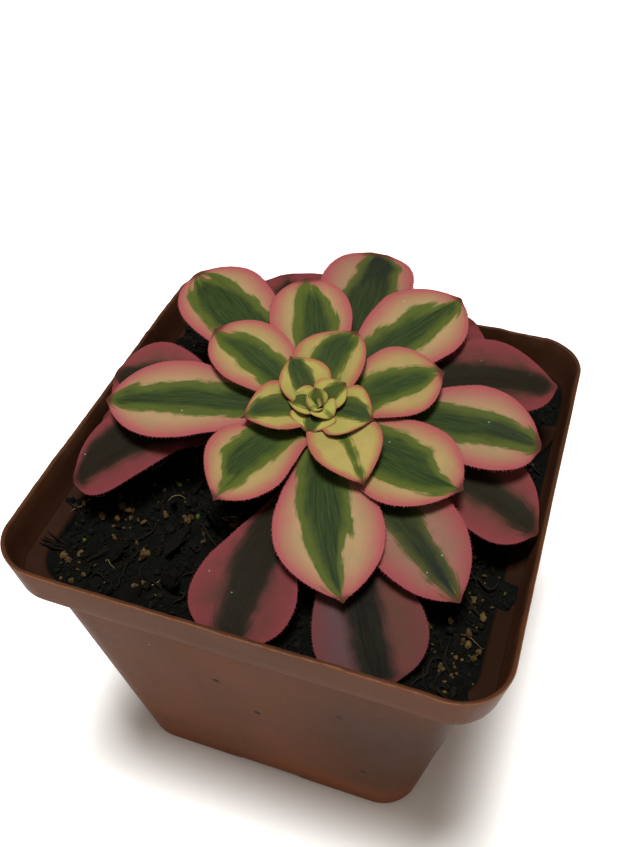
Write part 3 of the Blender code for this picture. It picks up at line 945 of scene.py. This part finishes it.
# %% Rows of the leaves
LEAVES = {
    0: (0, 1.0, 0.7, 2.2, 0.0, 0, 0.60, 0.00, 0.0, 0.0, 1.0, 1.0),
    1: (0, 2.2, 0.6, 3.6, 0.0, 0, 0.60, 0.02, 0.1, 0.1, 1.0, 1.0),
    2: (15, 3.4, 1.2, 4.0, 0.0, 0, 1.15, 0.05, 0.62, 0.62, 1.0, 1.0),
    3: (2, 4.6, 0.6, 5.4, 0.0, 0, 1.10, 0.05, 0.12, 0.12, 1.0, 1.0),
    4: (0, 6.0, 0.6, 6.4, 0.0, 0, 1.15, 0.08, 0.45, 0.50, 1.0, 1.0),
    5: (10, 6.9, 1.0, 7.4, 0.0, 0, 1.15, 0.10, 0.55, 0.38, 1.0, 1.0),
    6: (1, 6.2, -0.3, 8.8, 0.0, 0, 1.10, 0.12, 0.4, 0.4, 1.0, 1.0),
    7: (1, 12.0, 1.5, 10.0, 0.0, 0, 1.10, 0.16, 0.45, 0.42, 1.0, 1.0),
    8: (-2, 11.0, 1.5, 12.0, 0.0, 0, 1.00, 0.18, 0.52, 0.22, 0.95, 1.0),
    9: (-8, 14.0, 1.5, 11.5, -1.0, 0, 1.00, 0.22, 0.35, 0.48, 1.0, 0.95),
    10: (3, 18.0, 1.5, 14.0, 2.0, 0, 0.85, 0.26, 0.52, 0.45, 1.0, 0.95),
    11: (9, 19.5, 1.3, 13.5, 1.0, 0, 0.95, 0.24, 0.12, 0.3, 1.0, 0.42),
    12: (-10, 27.0, 1.4, 15.0, 0.0, 0, 0.72, 0.36, 0.52, 0.48, 0.98, 0.93),
    13: (5, 24.0, 0.8, 16.5, 0.7, 0, 0.75, 0.34, 0.46, 0.52, 0.97, 0.92),
    14: (-5, 26.5, 0.8, 16.5, -2.0, 0, 0.85, 0.38, 0.42, 0.66, 0.95, 0.80),
    15: (-1, 32.0, 0.2, 16.5, 0.0, 0, 0.62, 0.42, 0.5, 0.62, 1.0, 0.93),
    16: (5, 31.0, 0.3, 18.5, -1.0, 0, 0.75, 0.40, 0.62, 0.54, 0.84, 1.0),
    17: (-6, 40.5, -1.5, 18.0, 0.0, 0, 0.75, 0.50, 0.42, 0.56, 1.03, 1.0),
    18: (1, 39.0, -2.0, 18.5, 0.7, 6, 0.75, 0.46, 0.54, 0.52, 0.9, 1.0),
    19: (11, 38.0, -2.3, 19.5, -1.0, 0, 0.88, 0.50, 0.52, 0.5, 0.8, 1.0),
    20: (-3, 45.5, -2.6, 18.5, 0.0, 0, 0.60, 0.48, 0.76, 0.68, 0.99, 0.96),
    21: (-2.5, 40.5, -2.3, 18.0, 2.2, 0, 0.58, 0.52, 0.55, 0.48, 1.04, 1.04),
    23: (-2, 43.0, -3.0, 19.0, 0.0, 0, 0.45, 0.55, 0.5, 0.82, 1.06, 1.14),
    24: (4, 44.0, -3.9, 17.5, 0.5, 0, 0.78, 0.60, 0.38, 0.44, 1.00, 1.00),
    25: (3, 42.0, -4.0, 18.5, 0.0, 0, 0.60, 0.74, 0.6, 0.6, 1.0, 1.0),
    26: (-13, 46.0, -6.4, 17.5, 4.4, 0, 0.82, 0.80, 0.46, 0.62, 1.05, 1.05),
    27: (5, 45.8, -6.6, 18.5, 0.0, 0, 0.55, 0.84, 0.46, 0.52, 1.15, 1.15),
    28: (-7, 40.0, -6.0, 20.0, 0.0, 0, 0.60, 0.80, 0.50, 0.45, 0.95, 0.95),
    29: (-2, 44.5, -7.0, 17, 3.0, 0, 0.72, 0.76, 0.55, 0.42, 1.1, 1.1),
    30: (1, 46.8, -5.6, 16.5, -6.3, 0, 0.60, 0.86, 0.5, 0.86, 1.15, 1.15),
    32: (3.8, 51.0, -7.8, 19.2, 0.0, 0, 0.50, 0.96, 0.42, 0.46, 1.15, 1.15),
    38: (2, 43.0, -8.5, 16.0, 0.0, 0, 0.60, 0.82, 0.35, 0.35, 0.95, 0.95),
    39: (4, 39.8, -7.0, 17.0, 0.0, 0, 0.60, 0.84, 0.40, 0.40, 0.95, 0.95),
}
GOLDEN_ANGLE, FIRST_AZIMUTH = 137.508, 16.0
LEAF_THICKNESS, MARGIN_SHARE, NECK_SHARE = 1.6, 0.3, 0.27
print("leaves:", len(LEAVES), "up to", max(row[3] for row in LEAVES.values()), "mm wide")

# %% [markdown]
# The midrib is a curve through three points: where the leaf joins the stem, a bend point
# that sets how steeply it leaves, and the tip. The inner leaves hide the stem, so their
# joints lie a little higher and closer in, and the bend point makes up for it. Young
# leaves stand up and are cupped, old ones lie flat. The width follows a power law that
# rises from the neck and closes at the tip.

# %% Leaf law
OPENINGS = ((12, 0.85), (17, 1.3), (25, 1.6), (99, 2.6))  # below this rank, this power
YOUNG_NECK, YOUNG_RANKS = 0.5, 16
JOINT_LIFT = ((0, 7, 9, 12, 16, 19, 24, 27), (0, 0.4, 1.1, 3.0, 4.8, 5.2, 2.2, 0))
JOINT_DRAW = ((0, 7, 12, 19, 24, 27), (0, 0.5, 1.6, 2.4, 1.0, 0))
BUD_RANKS = 14


def half_width(u, width, rank, point):
    """Half width at the share u of the leaf: a spoon u^a (1-u)^b, scaled to 1 at its
    widest, over a neck that fades towards the tip."""
    opening = next(power for above, power in OPENINGS if rank < above)
    widest = opening / (opening + point)
    peak = widest**opening * (1.0 - widest) ** point
    spoon = u**opening * (1.0 - u) ** point / peak
    neck = (NECK_SHARE if rank > YOUNG_RANKS else YOUNG_NECK) * (1.0 - u) ** 2
    return 0.5 * width * (neck * (1.0 - 0.3 * u) + spoon * (1.0 - neck))


print("a leaf 18 mm wide is, half way out,", round(2 * half_width(0.5, 18.0, 20, 0.6), 1), "mm")


# %% Upper side
def midrib(u, rank, reach, rise):
    """Midrib's x and z, and the x and z of its unit direction. It is a quadratic curve
    from the joint by the bend point to the tip. The bend point lies half way out, at a
    pitch that falls off with rank."""
    base_x, base_z = leaf_base(rank)
    base_x = base_x * min(1.0, 0.20 + 0.056 * rank)
    if rank < BUD_RANKS:
        base_z = -0.1 - 0.1 * rank - 5.26 * (rank / BUD_RANKS) ** 3
    pitch = math.radians(24.0 + 64.0 * math.exp(-rank / 13.0))
    span = 0.5 * math.hypot(reach - base_x, rise - base_z)
    bend_x, bend_z = base_x + span * math.cos(pitch), base_z + span * math.sin(pitch)
    raised, drawn = np.interp(rank, *JOINT_LIFT), np.interp(rank, *JOINT_DRAW)
    base_x, base_z = base_x - drawn, base_z + raised
    bend_x, bend_z = bend_x + 0.5 * drawn, bend_z - 0.5 * raised
    rest = 1.0 - u
    x = rest**2 * base_x + 2 * u * rest * bend_x + u**2 * reach
    z = rest**2 * base_z + 2 * u * rest * bend_z + u**2 * rise
    slope_x = 2 * rest * (bend_x - base_x) + 2 * u * (reach - bend_x)
    slope_z = 2 * rest * (bend_z - base_z) + 2 * u * (rise - bend_z)
    slope = np.hypot(slope_x, slope_z)
    return x, z, slope_x / slope, slope_z / slope


def leaf_upper(u, w, rank):
    """Upper side in mm, x outwards, y to the left, z along the rosette's axis. Across
    the leaf the surface lifts as the cup times the distance from the midrib, with
    ripples from noise that grow towards the margin with age, a fold along the midrib
    and a slightly wavy margin. The lift is square to the midrib."""
    _, reach, rise, width, bow, roll, point, age = LEAVES[rank][:8]
    x, z, along_x, along_z = midrib(u, rank, reach, rise)
    cup = 0.06 + 0.55 * math.exp(-rank / 5.5)
    hump = 4.0 * u * (1.0 - u)
    side = half_width(u, width, rank, point) * w
    blade = unit(width / 16.0) * unit(hump + 0.3)
    ripple = 0.25 * fractal(u * reach + 31 * rank, side, 9.0, 100 + rank, 2)
    crimp = 0.35 * value_noise(u * reach + 17 * rank, np.sign(w) * 9.0, 8.0, 200 + rank)
    lift = cup * np.abs(side) * np.abs(w) ** 0.8 + blade * (
        ripple + age * np.abs(w) ** 3 * crimp - 0.16 * np.exp(-((side / 0.8) ** 2)))
    side = side * (1.0 + 0.018 * value_noise(u * reach, np.sign(w) * 9.0, 4.0, 300 + rank))
    turn = math.radians(roll) * u
    turned = side * np.cos(turn) - lift * np.sin(turn) + bow * hump
    lift = side * np.sin(turn) + lift * np.cos(turn)
    return np.stack([x - lift * along_z, turned, z + lift * along_x], -1)


tip = leaf_upper(np.ones(1), np.zeros(1), 20)[0]
print("a tip lies at", np.round(tip, 1), "mm from the crown")

# %% [markdown]
# The lower side lies under the upper one, thickest along the midrib. Towards the margin
# both sides bend to meet in a round edge. The last rings are drawn out into the short,
# fine tip that these leaves carry.

# %% Solid leaf
def leaf_solid(rank, rows=76, across=33):
    """Rings of points: over the upper side from right to left, back along the lower
    side. The lower side is the upper one less its normal times a thickness that falls
    with the square of w, and the margin is rounded by the root of 1 - w^10. Returns the
    rings, their u and w, the end of the tip and the upper side."""
    width = LEAVES[rank][3]
    u = (0.998 * (1.0 - (1.0 - np.linspace(0.0, 1.0, rows)) ** 1.7))[:, None]
    w = np.sin(0.5 * math.pi * np.linspace(-1.0, 1.0, across))[None, :]
    upper = leaf_upper(u, w, rank)
    normal = unit_length(np.cross(np.gradient(upper, axis=0), np.gradient(upper, axis=1)))
    thickness = LEAF_THICKNESS * min(1.0, width / 12.0) * (1.0 - 0.3 * u) * (
        MARGIN_SHARE + (1.0 - MARGIN_SHARE) * (1.0 - w**2))
    thickness = thickness * unit((1.0 - u) * 9.0 + 0.2)
    round_off = np.sqrt(unit(1.0 - np.abs(w) ** 10))
    drop = 0.4 * thickness * (1.0 - round_off)
    top = upper - normal * drop[..., None]
    under = upper - normal * (drop + thickness * round_off)[..., None]
    loop = np.concatenate([top, under[:, -2:0:-1]], 1)
    u_loop = np.repeat(u, loop.shape[1], 1)
    w_loop = np.repeat(np.concatenate([w, w[:, -2:0:-1]], 1), rows, 0)
    tip = top[-1, across // 2]
    ahead = unit_length(tip - top[-5, across // 2])
    draw = min(0.4, width * 0.04)
    loop = loop + (unit((u_loop - 0.985) / 0.013) ** 2 * draw)[..., None] * ahead
    return loop, u_loop, w_loop, tip + ahead * (draw + 0.15), top


print("rings and points of a leaf:", leaf_solid(20)[0].shape[:2])

# %% [markdown]
# ### Where the pattern lies
# The variegation runs along the veins. A streak of green fills part of each half of the
# blade, and each vein's green stops at its own distance from the tip, which gives the
# stepped, ragged ends. The streak keeps an even breadth while the blade widens, so it
# fills the neck and leaves pale sides further out. In most leaves a core runs to the
# tip. These lengths are worked out for each point, in millimetres, and the material only
# turns them into colour.

# %% Pattern fields
ACROSS_SCALE = 8.0
OUTSIDE_STREAK = -3.0


def leaf_fields(rank, u, w, length):
    """Marks: depth inside the green streak, distance from the margin and distance from
    the tip, in mm. Veins: mm along the leaf, the share across times a scale, and the
    leaf's own number, which keeps the noise of every leaf different."""
    _, _, _, width, _, _, point, age, left, right, left_end, right_end = LEAVES[rank]
    half = half_width(u, width, rank, point)
    share = np.where(w > 0, left, right)
    end = np.where(w > 0, left_end, right_end)
    steps = value_noise(w * 9.0 + 40.0, u * 0.0 + rank * 3.1, 1.0, 400 + rank)
    end = end + 0.06 * min(1.0, 4.0 - 4.0 * age) * steps
    even = 0.5 * width * share * (0.74 + 0.26 * np.sin(math.pi * unit(u / 0.85)))
    even = even * (1.0 + 0.16 * value_noise(u * length, np.sign(w) * 5.0 + 9.0, 6.0, 500 + rank))
    even = even * unit((end + 0.02 - u) / 0.16) ** 0.5
    if max(left_end, right_end) > 0.94:
        core = 0.5 * width * np.minimum(share, 0.12) * unit((1.0 - u) * 9.0)
        even = np.maximum(even, core)
    half = np.maximum(half, 0.1)
    streak = np.minimum(even, half * (0.93 - 0.3 * u**3)) - half * np.abs(w)
    streak = np.where(share > 0, streak, OUTSIDE_STREAK)
    edge = np.minimum(half * (1.0 - np.abs(w)), 0.75 * length * (1.0 - u))
    marks = np.stack([streak, edge, length * (1.0 - u)], -1)
    veins = np.stack([length * u, w * ACROSS_SCALE, 0.0 * u + rank * 7.3], -1)
    return marks, veins


sample = leaf_fields(20, *leaf_solid(20)[1:3], 40.0)[0][..., 0]
print("share of a leaf that is green:", round(float((sample > 0).mean()), 2))

# %% [markdown]
# The margins carry cilia, a fringe of short stiff hairs. Each hair is a spike of four
# faces, set along the margin at nearly even steps and leaning towards the tip.

# %% Cilia
CILIA_FROM, CILIA_GIRTH = 0.34, 0.1


def cilia(top, u, seed, scale, spacing=0.52):
    """Spikes on both margins: feet at nearly even steps along the margin, three points
    round each foot and one point out along the surface, leaning towards the tip."""
    random = np.random.default_rng(seed)
    feet, out, ahead = [], [], []
    for side, inner in ((0, 1), (-1, -2)):
        margin = top[:, side]
        steps = np.linalg.norm(np.diff(margin, axis=0), axis=1)
        reached = np.concatenate([[0.0], np.cumsum(steps)])
        start = np.interp(CILIA_FROM, u, reached)
        at = np.arange(start, reached[-1] - 0.3, spacing)
        at = at + random.uniform(-0.2, 0.2, len(at))
        outward = unit_length(margin - top[:, inner])
        forward = unit_length(np.gradient(margin, axis=0))
        for target, source in ((feet, margin), (out, outward), (ahead, forward)):
            target.append(np.stack([np.interp(at, reached, source[:, k]) for k in range(3)], 1))
    feet, out, ahead = (np.concatenate(part) for part in (feet, out, ahead))
    count = len(feet)
    upright = np.cross(out, ahead)
    turn = np.arange(3) * math.tau / 3
    ring = CILIA_GIRTH * scale * (np.cos(turn)[None, :, None] * ahead[:, None] +
                                  np.sin(turn)[None, :, None] * upright[:, None])
    length = random.uniform(0.25, 0.65, (count, 1)) * scale
    apex = feet + out * length + ahead * length * random.uniform(0.1, 0.6, (count, 1))
    points = np.concatenate([feet[:, None] - 0.05 * out[:, None] + ring, apex[:, None]], 1)
    spike = np.array([[0, 1, 3], [1, 2, 3], [2, 0, 3], [0, 2, 1]])
    return points.reshape(-1, 3), repeated_faces(spike, count, 4)


sample = leaf_solid(20)
print("hairs on a leaf:", len(cilia(sample[4], sample[1][:, 0], 0, 1.0)[0]) // 4)

# %% [markdown]
# ### Leaf skin
# One material serves every leaf. Its four colours, of the pale ground, the margin and
# the two greens, each run along a ramp of the leaf's age, because the young leaves are
# yellow and green, the middle ones cream and rose, and the oldest a dusky wine colour.
# The ground of the old leaves is mottled with brown, and the very oldest are mauve on
# one side of the midrib, partly a painted sheen, and brown on the other. Fine noise drawn
# out along the veins frays the streak, stripes it and darkens its furrows.

# %% Leaf colours
ROOM_LIGHT = 1.86


def seen_as(*colour):
    """Colour of a surface that looks like this, on the usual 0 to 255 scale, when the
    room's light falls on it: carried to the linear scale, then divided by the light."""
    value = np.array(colour) / 255.0
    seen = np.where(value > 0.04045, ((value + 0.055) / 1.055) ** 2.4, value / 12.92)
    return tuple(seen / ROOM_LIGHT)


print("cream on the linear scale:", np.round(seen_as(192, 168, 106), 2))


# %% Ramps over age
def by_age(tree, age, *stops):
    """Ramp of colours over a leaf's age, from stops of an age and a colour as seen."""
    node = put(tree, "ShaderNodeValToRGB", [age])
    points = node.color_ramp.elements
    while len(points) < len(stops):
        points.new(0.5)
    for point, (spot, colour) in zip(points, stops):
        point.position = spot
        point.color = (*seen_as(*colour), 1.0)
    return node.outputs[0]


def shifted(tree, value, by, size):
    """Value moved up and down by a noise, by half the size at most."""
    return maths(tree, "MULTIPLY_ADD", maths(tree, "SUBTRACT", by, 0.5), size, value)


def leaf_ramps(tree, age):
    """Ground, margin, dark green and light green over the leaf's age."""
    ground = by_age(tree, age, (0.0, (200, 200, 104)), (0.1, (206, 197, 106)),
                    (0.3, (192, 168, 106)), (0.5, (190, 160, 118)), (0.6, (162, 118, 102)),
                    (0.7, (130, 80, 71)), (0.78, (110, 60, 55)), (0.86, (120, 62, 62)),
                    (1.0, (88, 60, 56)))
    margin = by_age(tree, age, (0.0, (196, 162, 90)), (0.1, (190, 136, 84)),
                    (0.2, (186, 104, 88)), (0.35, (186, 94, 96)), (0.5, (182, 88, 96)),
                    (0.65, (156, 74, 78)), (0.8, (138, 63, 68)), (0.9, (136, 63, 68)),
                    (1.0, (98, 62, 58)))
    dark = by_age(tree, age, (0.0, (78, 92, 34)), (0.15, (46, 66, 44)), (0.3, (50, 70, 38)),
                  (0.5, (49, 67, 36)), (0.65, (38, 44, 28)), (0.75, (40, 34, 24)),
                  (0.86, (35, 29, 21)), (1.0, (18, 15, 11)))
    light = by_age(tree, age, (0.0, (128, 134, 50)), (0.3, (96, 110, 42)),
                   (0.5, (92, 104, 46)), (0.65, (80, 76, 46)), (0.75, (66, 54, 40)),
                   (0.86, (62, 47, 37)), (1.0, (50, 42, 35)))
    return ground, margin, dark, light


# %% [markdown]
# The pale parts come first: the ground with its blotches, then the blush that fades
# inwards from the margin. It is widest on the oldest leaves.

# %% Pale parts
def pale_parts(tree, age, fields, noises, ground, margin, light):
    """Ground, shaded in blotches, mottled with brown on old leaves, mauve and brown on
    the two sides of the oldest, the mauve partly a painted sheen, and greener towards the
    joint. The blush fades inwards from the margin, further on older leaves, and a narrow
    rim has the margin's colour."""
    blotch, patches = noises["blotch"], noises["patches"]
    shade = ease(tree, blotch, 0.3, 0.7, 0.0, 0.35)
    ground = blend(tree, shade, ground, blend(tree, 0.5, ground, light))
    mottle = times(tree, ease(tree, patches, 0.45, 0.62, 0.0, 0.7), ease(tree, age, 0.66, 0.95))
    ground = blend(tree, mottle, ground, seen_as(88, 62, 48))
    oldest = ease(tree, age, 0.88, 0.94)
    # Oldest leaves: mauve on one side of the midrib, partly a painted sheen, and brown on the
    # other.
    for first, last, tint in ((-0.5, -5.0, (102, 76, 82)), (0.5, 5.0, (108, 70, 56))):
        side = times(tree, ease(tree, fields["across"], first, last, 0.0, 0.75), oldest)
        ground = blend(tree, side, ground, seen_as(*tint))
    base = times(tree, ease(tree, fields["along"], 1.0, 12.0, 0.35, 0.0),
                 ease(tree, age, 0.1, 0.35, 0.2, 1.0))
    ground = blend(tree, base, ground, light)
    loose_edge = shifted(tree, fields["edge"], blotch, 3.0)
    spread = ease(tree, age, 0.0, 0.6, 0.25, 5.2)
    blush = ease(tree, loose_edge, 0.1, spread, 0.8, 0.0)
    colour = blend(tree, blush, ground, margin)
    rim = ease(tree, fields["edge"], 0.1, ease(tree, age, 0.0, 0.5, 0.16, 1.5), 0.72, 0.0)
    return blend(tree, rim, colour, margin)


# %% [markdown]
# The green streak is laid over them. Its mask is the depth inside the streak, frayed by
# noise, so its edge is ragged along the veins and crisp in places.

# %% Green streak
def green_parts(tree, age, fields, noises, dark, light):
    """Share and colour of the green streak. Three noises fray its edge, which is softer
    on old leaves. The dark core has light lines and darker furrows, its tip is slate
    coloured in middle-aged leaves, and the light green shows along the streak's sides
    and near the joint. Near the joint it is partly the leaf's own paler green and partly
    painted light in the shaded heart of the rosette."""
    stripes, threads = noises["stripes"], noises["threads"]
    frayed = shifted(tree, fields["streak"], stripes, 2.0)
    frayed = shifted(tree, frayed, noises["blotch"], 1.8)
    frayed = shifted(tree, frayed, threads, 0.8)
    soft = ease(tree, age, 0.55, 0.8, 0.4, 1.3)
    low = times(tree, soft, -1.0)
    bright = times(tree, ease(tree, age, 0.1, 0.45, 0.4, 3.8),
                   ease(tree, age, 0.5, 0.7, 1.0, 0.25))
    inner = maths(tree, "SUBTRACT", frayed, times(tree, stripes, bright))
    deep = ease(tree, inner, maths(tree, "SUBTRACT", low, 0.7), maths(tree, "ADD", soft, 0.5))
    lines = times(tree, ease(tree, threads, 0.3, 0.75, 0.0, 0.36),
                  ease(tree, age, 0.55, 0.8, 1.0, 0.45))
    dark = blend(tree, lines, dark, light)
    furrows = ease(tree, noises["furrows"], 0.5, 0.62, 0.0, 0.4)
    dark = blend(tree, furrows, dark, (0.008, 0.014, 0.006))
    slate = times(tree, ease(tree, fields["tip"], 2.0, 14.0, 0.7, 0.0),
                  ease(tree, age, 0.45, 0.58), ease(tree, age, 0.6, 0.7, 1.0, 0.0))
    dark = blend(tree, slate, dark, seen_as(33, 37, 40))
    # Lighter green near the joint: partly the leaf's own colour, partly painted light where the
    # rosette's heart is in shade.
    joint = times(tree, ease(tree, fields["along"], 2.0, 11.0, 0.9, 0.0),
                  ease(tree, age, 0.18, 0.3, 0.15, 0.8), ease(tree, age, 0.45, 0.6, 1.0, 0.2))
    colour = blend(tree, joint, blend(tree, deep, light, dark), light)
    return ease(tree, frayed, low, soft), colour


# %% Leaf skin
def leaf_skin():
    """Pale parts, then the green streak, a browned tip, dust and small pits, each laid
    over the last by the distances in the leaf's fields and by noise along the veins."""
    material, tree, shader = new_material(
        "leaf_skin", IOR=1.36, Specular_IOR_Level=0.06, Subsurface_Weight=0.12,
        Subsurface_Scale=0.0012)
    marks, veins = (attribute(tree, name, "Vector") for name in ("marks", "veins"))
    age = attribute(tree, "age")
    place_at = object_place(tree)
    marks = put(tree, "ShaderNodeSeparateXYZ", [marks]).outputs
    ways = put(tree, "ShaderNodeSeparateXYZ", [veins]).outputs
    fields = {"streak": marks[0], "edge": marks[1], "tip": marks[2],
              "along": ways[0], "across": ways[1]}
    noises = {
        "stripes": noise(tree, veins, (0.16, 1.1, 1.0), 3.0, 0.6),
        "threads": noise(tree, veins, (0.25, 3.2, 1.0), 2.0, 0.6),
        "furrows": noise(tree, mapped(tree, veins, (0.10, 2.3, 1.0), (3.0, 5.0, 0.0)), 1.0, 2.0),
        "blotch": noise(tree, place_at, 260.0),
        "patches": noise(tree, place_at, 130.0, 2.0),
    }
    ground, margin, dark, light = leaf_ramps(tree, age)
    pale = pale_parts(tree, age, fields, noises, ground, margin, light)
    green, streak_colour = green_parts(tree, age, fields, noises, dark, light)
    browned = times(tree, ease(tree, fields["tip"], 0.1, ease(tree, age, 0.0, 0.2, 0.8, 1.3),
                               0.85, 0.0), ease(tree, age, 0.5, 0.7, 1.0, 0.5))
    dust = use_group(tree, SPECKS, [place_at, 620.0, 0.07, 0.15])
    pits = use_group(tree, SPECKS, [place_at, 330.0, 0.03, 0.11])
    colour = blend(tree, green, pale, streak_colour)
    for mask, tint in (
            (browned, seen_as(92, 48, 42)),
            (times(tree, dust, ease(tree, age, 0.3, 0.9, 0.2, 0.6)), (0.5, 0.48, 0.44)),
            (times(tree, pits, 0.8), (0.05, 0.03, 0.02))):
        colour = blend(tree, mask, colour, tint)
    link(tree, colour, shader, "Base Color")
    grain = use_group(tree, GRAIN, [place_at, 1400.0, 0.5])
    link(tree, ease(tree, grain, 0.3, 0.7, 0.40, 0.56), shader, "Roughness")
    relief = maths(tree, "ADD", times(tree, noises["threads"], 0.8), grain)
    bump(tree, shader, relief, 0.00012)
    return material


skin = leaf_skin()
print("leaf skin:", len(skin.node_tree.nodes), "nodes")

# %% [markdown]
# Now the leaves are grown one by one, from the bud outwards. Each leaf is one closed
# mesh with its hairs, and takes the place of its plain solid.

# %% Grow the leaves
HAIR_MARKS, END_MARKS = (OUTSIDE_STREAK, 0.0, 6.0), (0.3, 0.0, 0.0)
SLOTS = ((7, "leaf_bud"), (25, "leaf_cream"), (99, "leaf_pink"))  # below this rank


def grow_leaf(rank, material):
    """Leaf mesh in its place on the golden spiral: the rings of the solid, a point that
    closes each end, and the hairs."""
    row = LEAVES[rank]
    loop, u, w, end, top = leaf_solid(rank)
    rows, columns = u.shape
    length = float(np.linalg.norm(np.diff(top[:, top.shape[1] // 2], axis=0), axis=1).sum())
    hairs, hair_faces = cilia(top, u[:, 0], 600 + rank, min(1.0, 0.3 + 0.045 * rank))
    points = np.concatenate([loop.reshape(-1, 3), [loop[0].mean(0), end], hairs])
    marks, veins = leaf_fields(rank, u, w, length)
    ring = np.arange(columns)
    body = rows * columns
    faces = [grid_faces(rows, columns, closed=True)[:, ::-1], cap_faces(ring, body),
             cap_faces(ring + body - columns, body + 1, True), hair_faces + body + 2]
    extra = len(points) - body
    marks = np.concatenate([marks.reshape(-1, 3), np.tile(HAIR_MARKS, (extra, 1))])
    marks[body], marks[body + 1] = marks[0], END_MARKS
    hair_veins = (length, ACROSS_SCALE, rank)
    veins = np.concatenate([veins.reshape(-1, 3), np.tile(hair_veins, (extra, 1))])
    azimuth = math.radians(FIRST_AZIMUTH - GOLDEN_ANGLE * rank + row[0])
    name = "leaf_%02d_blade" % (rank + 1)
    mesh = make_mesh(name, from_rosette(points, azimuth) * MM, faces,
                     {"marks": marks, "veins": veins, "age": np.full(len(points), row[7])})
    slot = next(slot for above, slot in SLOTS if rank < above)
    return place(name, mesh, material, slot, "leaf_%02d" % (rank + 1))


leaves = [grow_leaf(rank, skin) for rank in LEAVES]
print("leaves:", len(leaves), "with", sum(len(leaf.data.polygons) for leaf in leaves), "faces")

# %% [markdown]
# ## Table, light and camera
# The pot stands on a pale table in a bright, slightly warm room. The sky is dimmer where
# the back of the room would be. One soft light hangs almost straight overhead, a little
# to the front left, so a short soft shadow lies all round the foot. The camera sees a
# plain pale backdrop instead of the room.

# %% Table
bpy.ops.mesh.primitive_plane_add(size=6.0)
table = bpy.context.active_object
table.name = "table"
material, tree, shader = new_material("table_pale", Roughness=0.7, Specular_IOR_Level=0.2)
cloud = noise(tree, object_place(tree), 9.0)
paint = blend(tree, cloud, (0.96, 0.96, 0.955), (0.975, 0.975, 0.97))
link(tree, paint, shader, "Base Color")
table.data.materials.append(material)
print("table:", table.dimensions[0], "m wide")

# %% Light
ROOM_BACK = (-0.27, 0.77, 0.57)
FRONT_STRENGTH, BACK_STRENGTH, BACKDROP_STRENGTH = 0.36, 0.10, 0.9
ROOM_TINT, PLAIN = (1.0, 0.87, 0.75), (1.0, 1.0, 1.0)
MIDDLE_OF_POT = Vector((0.0, 0.0, 0.05))

world = bpy.data.worlds.new("room")
bpy.context.scene.world = world
world.use_nodes = True
tree = world.node_tree
sky = tree.nodes["Background"]
ray = put(tree, "ShaderNodeTexCoord").outputs["Generated"]
facing = put(tree, "ShaderNodeVectorMath", [ray, ROOM_BACK], operation="DOT_PRODUCT")
room = ease(tree, facing.outputs["Value"], 0.1, 0.95, FRONT_STRENGTH, BACK_STRENGTH)
seen = put(tree, "ShaderNodeLightPath").outputs["Is Camera Ray"]
strength = put(tree, "ShaderNodeMix", [seen, None, room, BACKDROP_STRENGTH])
link(tree, strength.outputs[0], sky, "Strength")
link(tree, blend(tree, seen, ROOM_TINT, PLAIN), sky, "Color")


def area_light(name, azimuth, elevation, away_by, size, watts, colour):
    """Square area light that faces the middle of the pot. Angles are in degrees."""
    lamp = bpy.data.lights.new(name, "AREA")
    lamp.size, lamp.energy, lamp.color = size, watts, colour
    item = bpy.data.objects.new(name, lamp)
    bpy.context.scene.collection.objects.link(item)
    turn, rise = math.radians(azimuth), math.radians(elevation)
    level = math.cos(rise)
    away = Vector((math.cos(turn) * level, math.sin(turn) * level, math.sin(rise)))
    item.location = away * away_by + MIDDLE_OF_POT
    item.rotation_euler = away.to_track_quat("Z", "Y").to_euler()


area_light("window", 232.0, 86.5, 3.0, 0.81, 134.0, (1.0, 0.99, 0.97))
print("lights:", [lamp.name for lamp in bpy.data.lights])

# %% Camera
CAMERA_PLACE = Vector((0.04049, -0.11718, 0.20205))
CAMERA_TURN, CAMERA_TILT = 0.329, 0.783
FOCAL_LENGTH, SENSOR_WIDTH = 39.894, 36.0
lens = bpy.data.cameras.new("camera")
lens.lens, lens.sensor_width, lens.clip_start = FOCAL_LENGTH, SENSOR_WIDTH, 0.01
camera = bpy.data.objects.new("camera", lens)
bpy.context.scene.collection.objects.link(camera)
back = Vector((math.sin(CAMERA_TURN) * math.cos(CAMERA_TILT),
               -math.cos(CAMERA_TURN) * math.cos(CAMERA_TILT), math.sin(CAMERA_TILT)))
right = Vector((math.cos(CAMERA_TURN), math.sin(CAMERA_TURN), 0.0))
turned = Matrix((right, back.cross(right), back)).transposed()
camera.matrix_world = Matrix.Translation(CAMERA_PLACE) @ turned.to_4x4()
bpy.context.scene.camera = camera
bpy.context.scene.view_settings.view_transform = "Standard"
print("camera at", [round(v, 4) for v in camera.location])
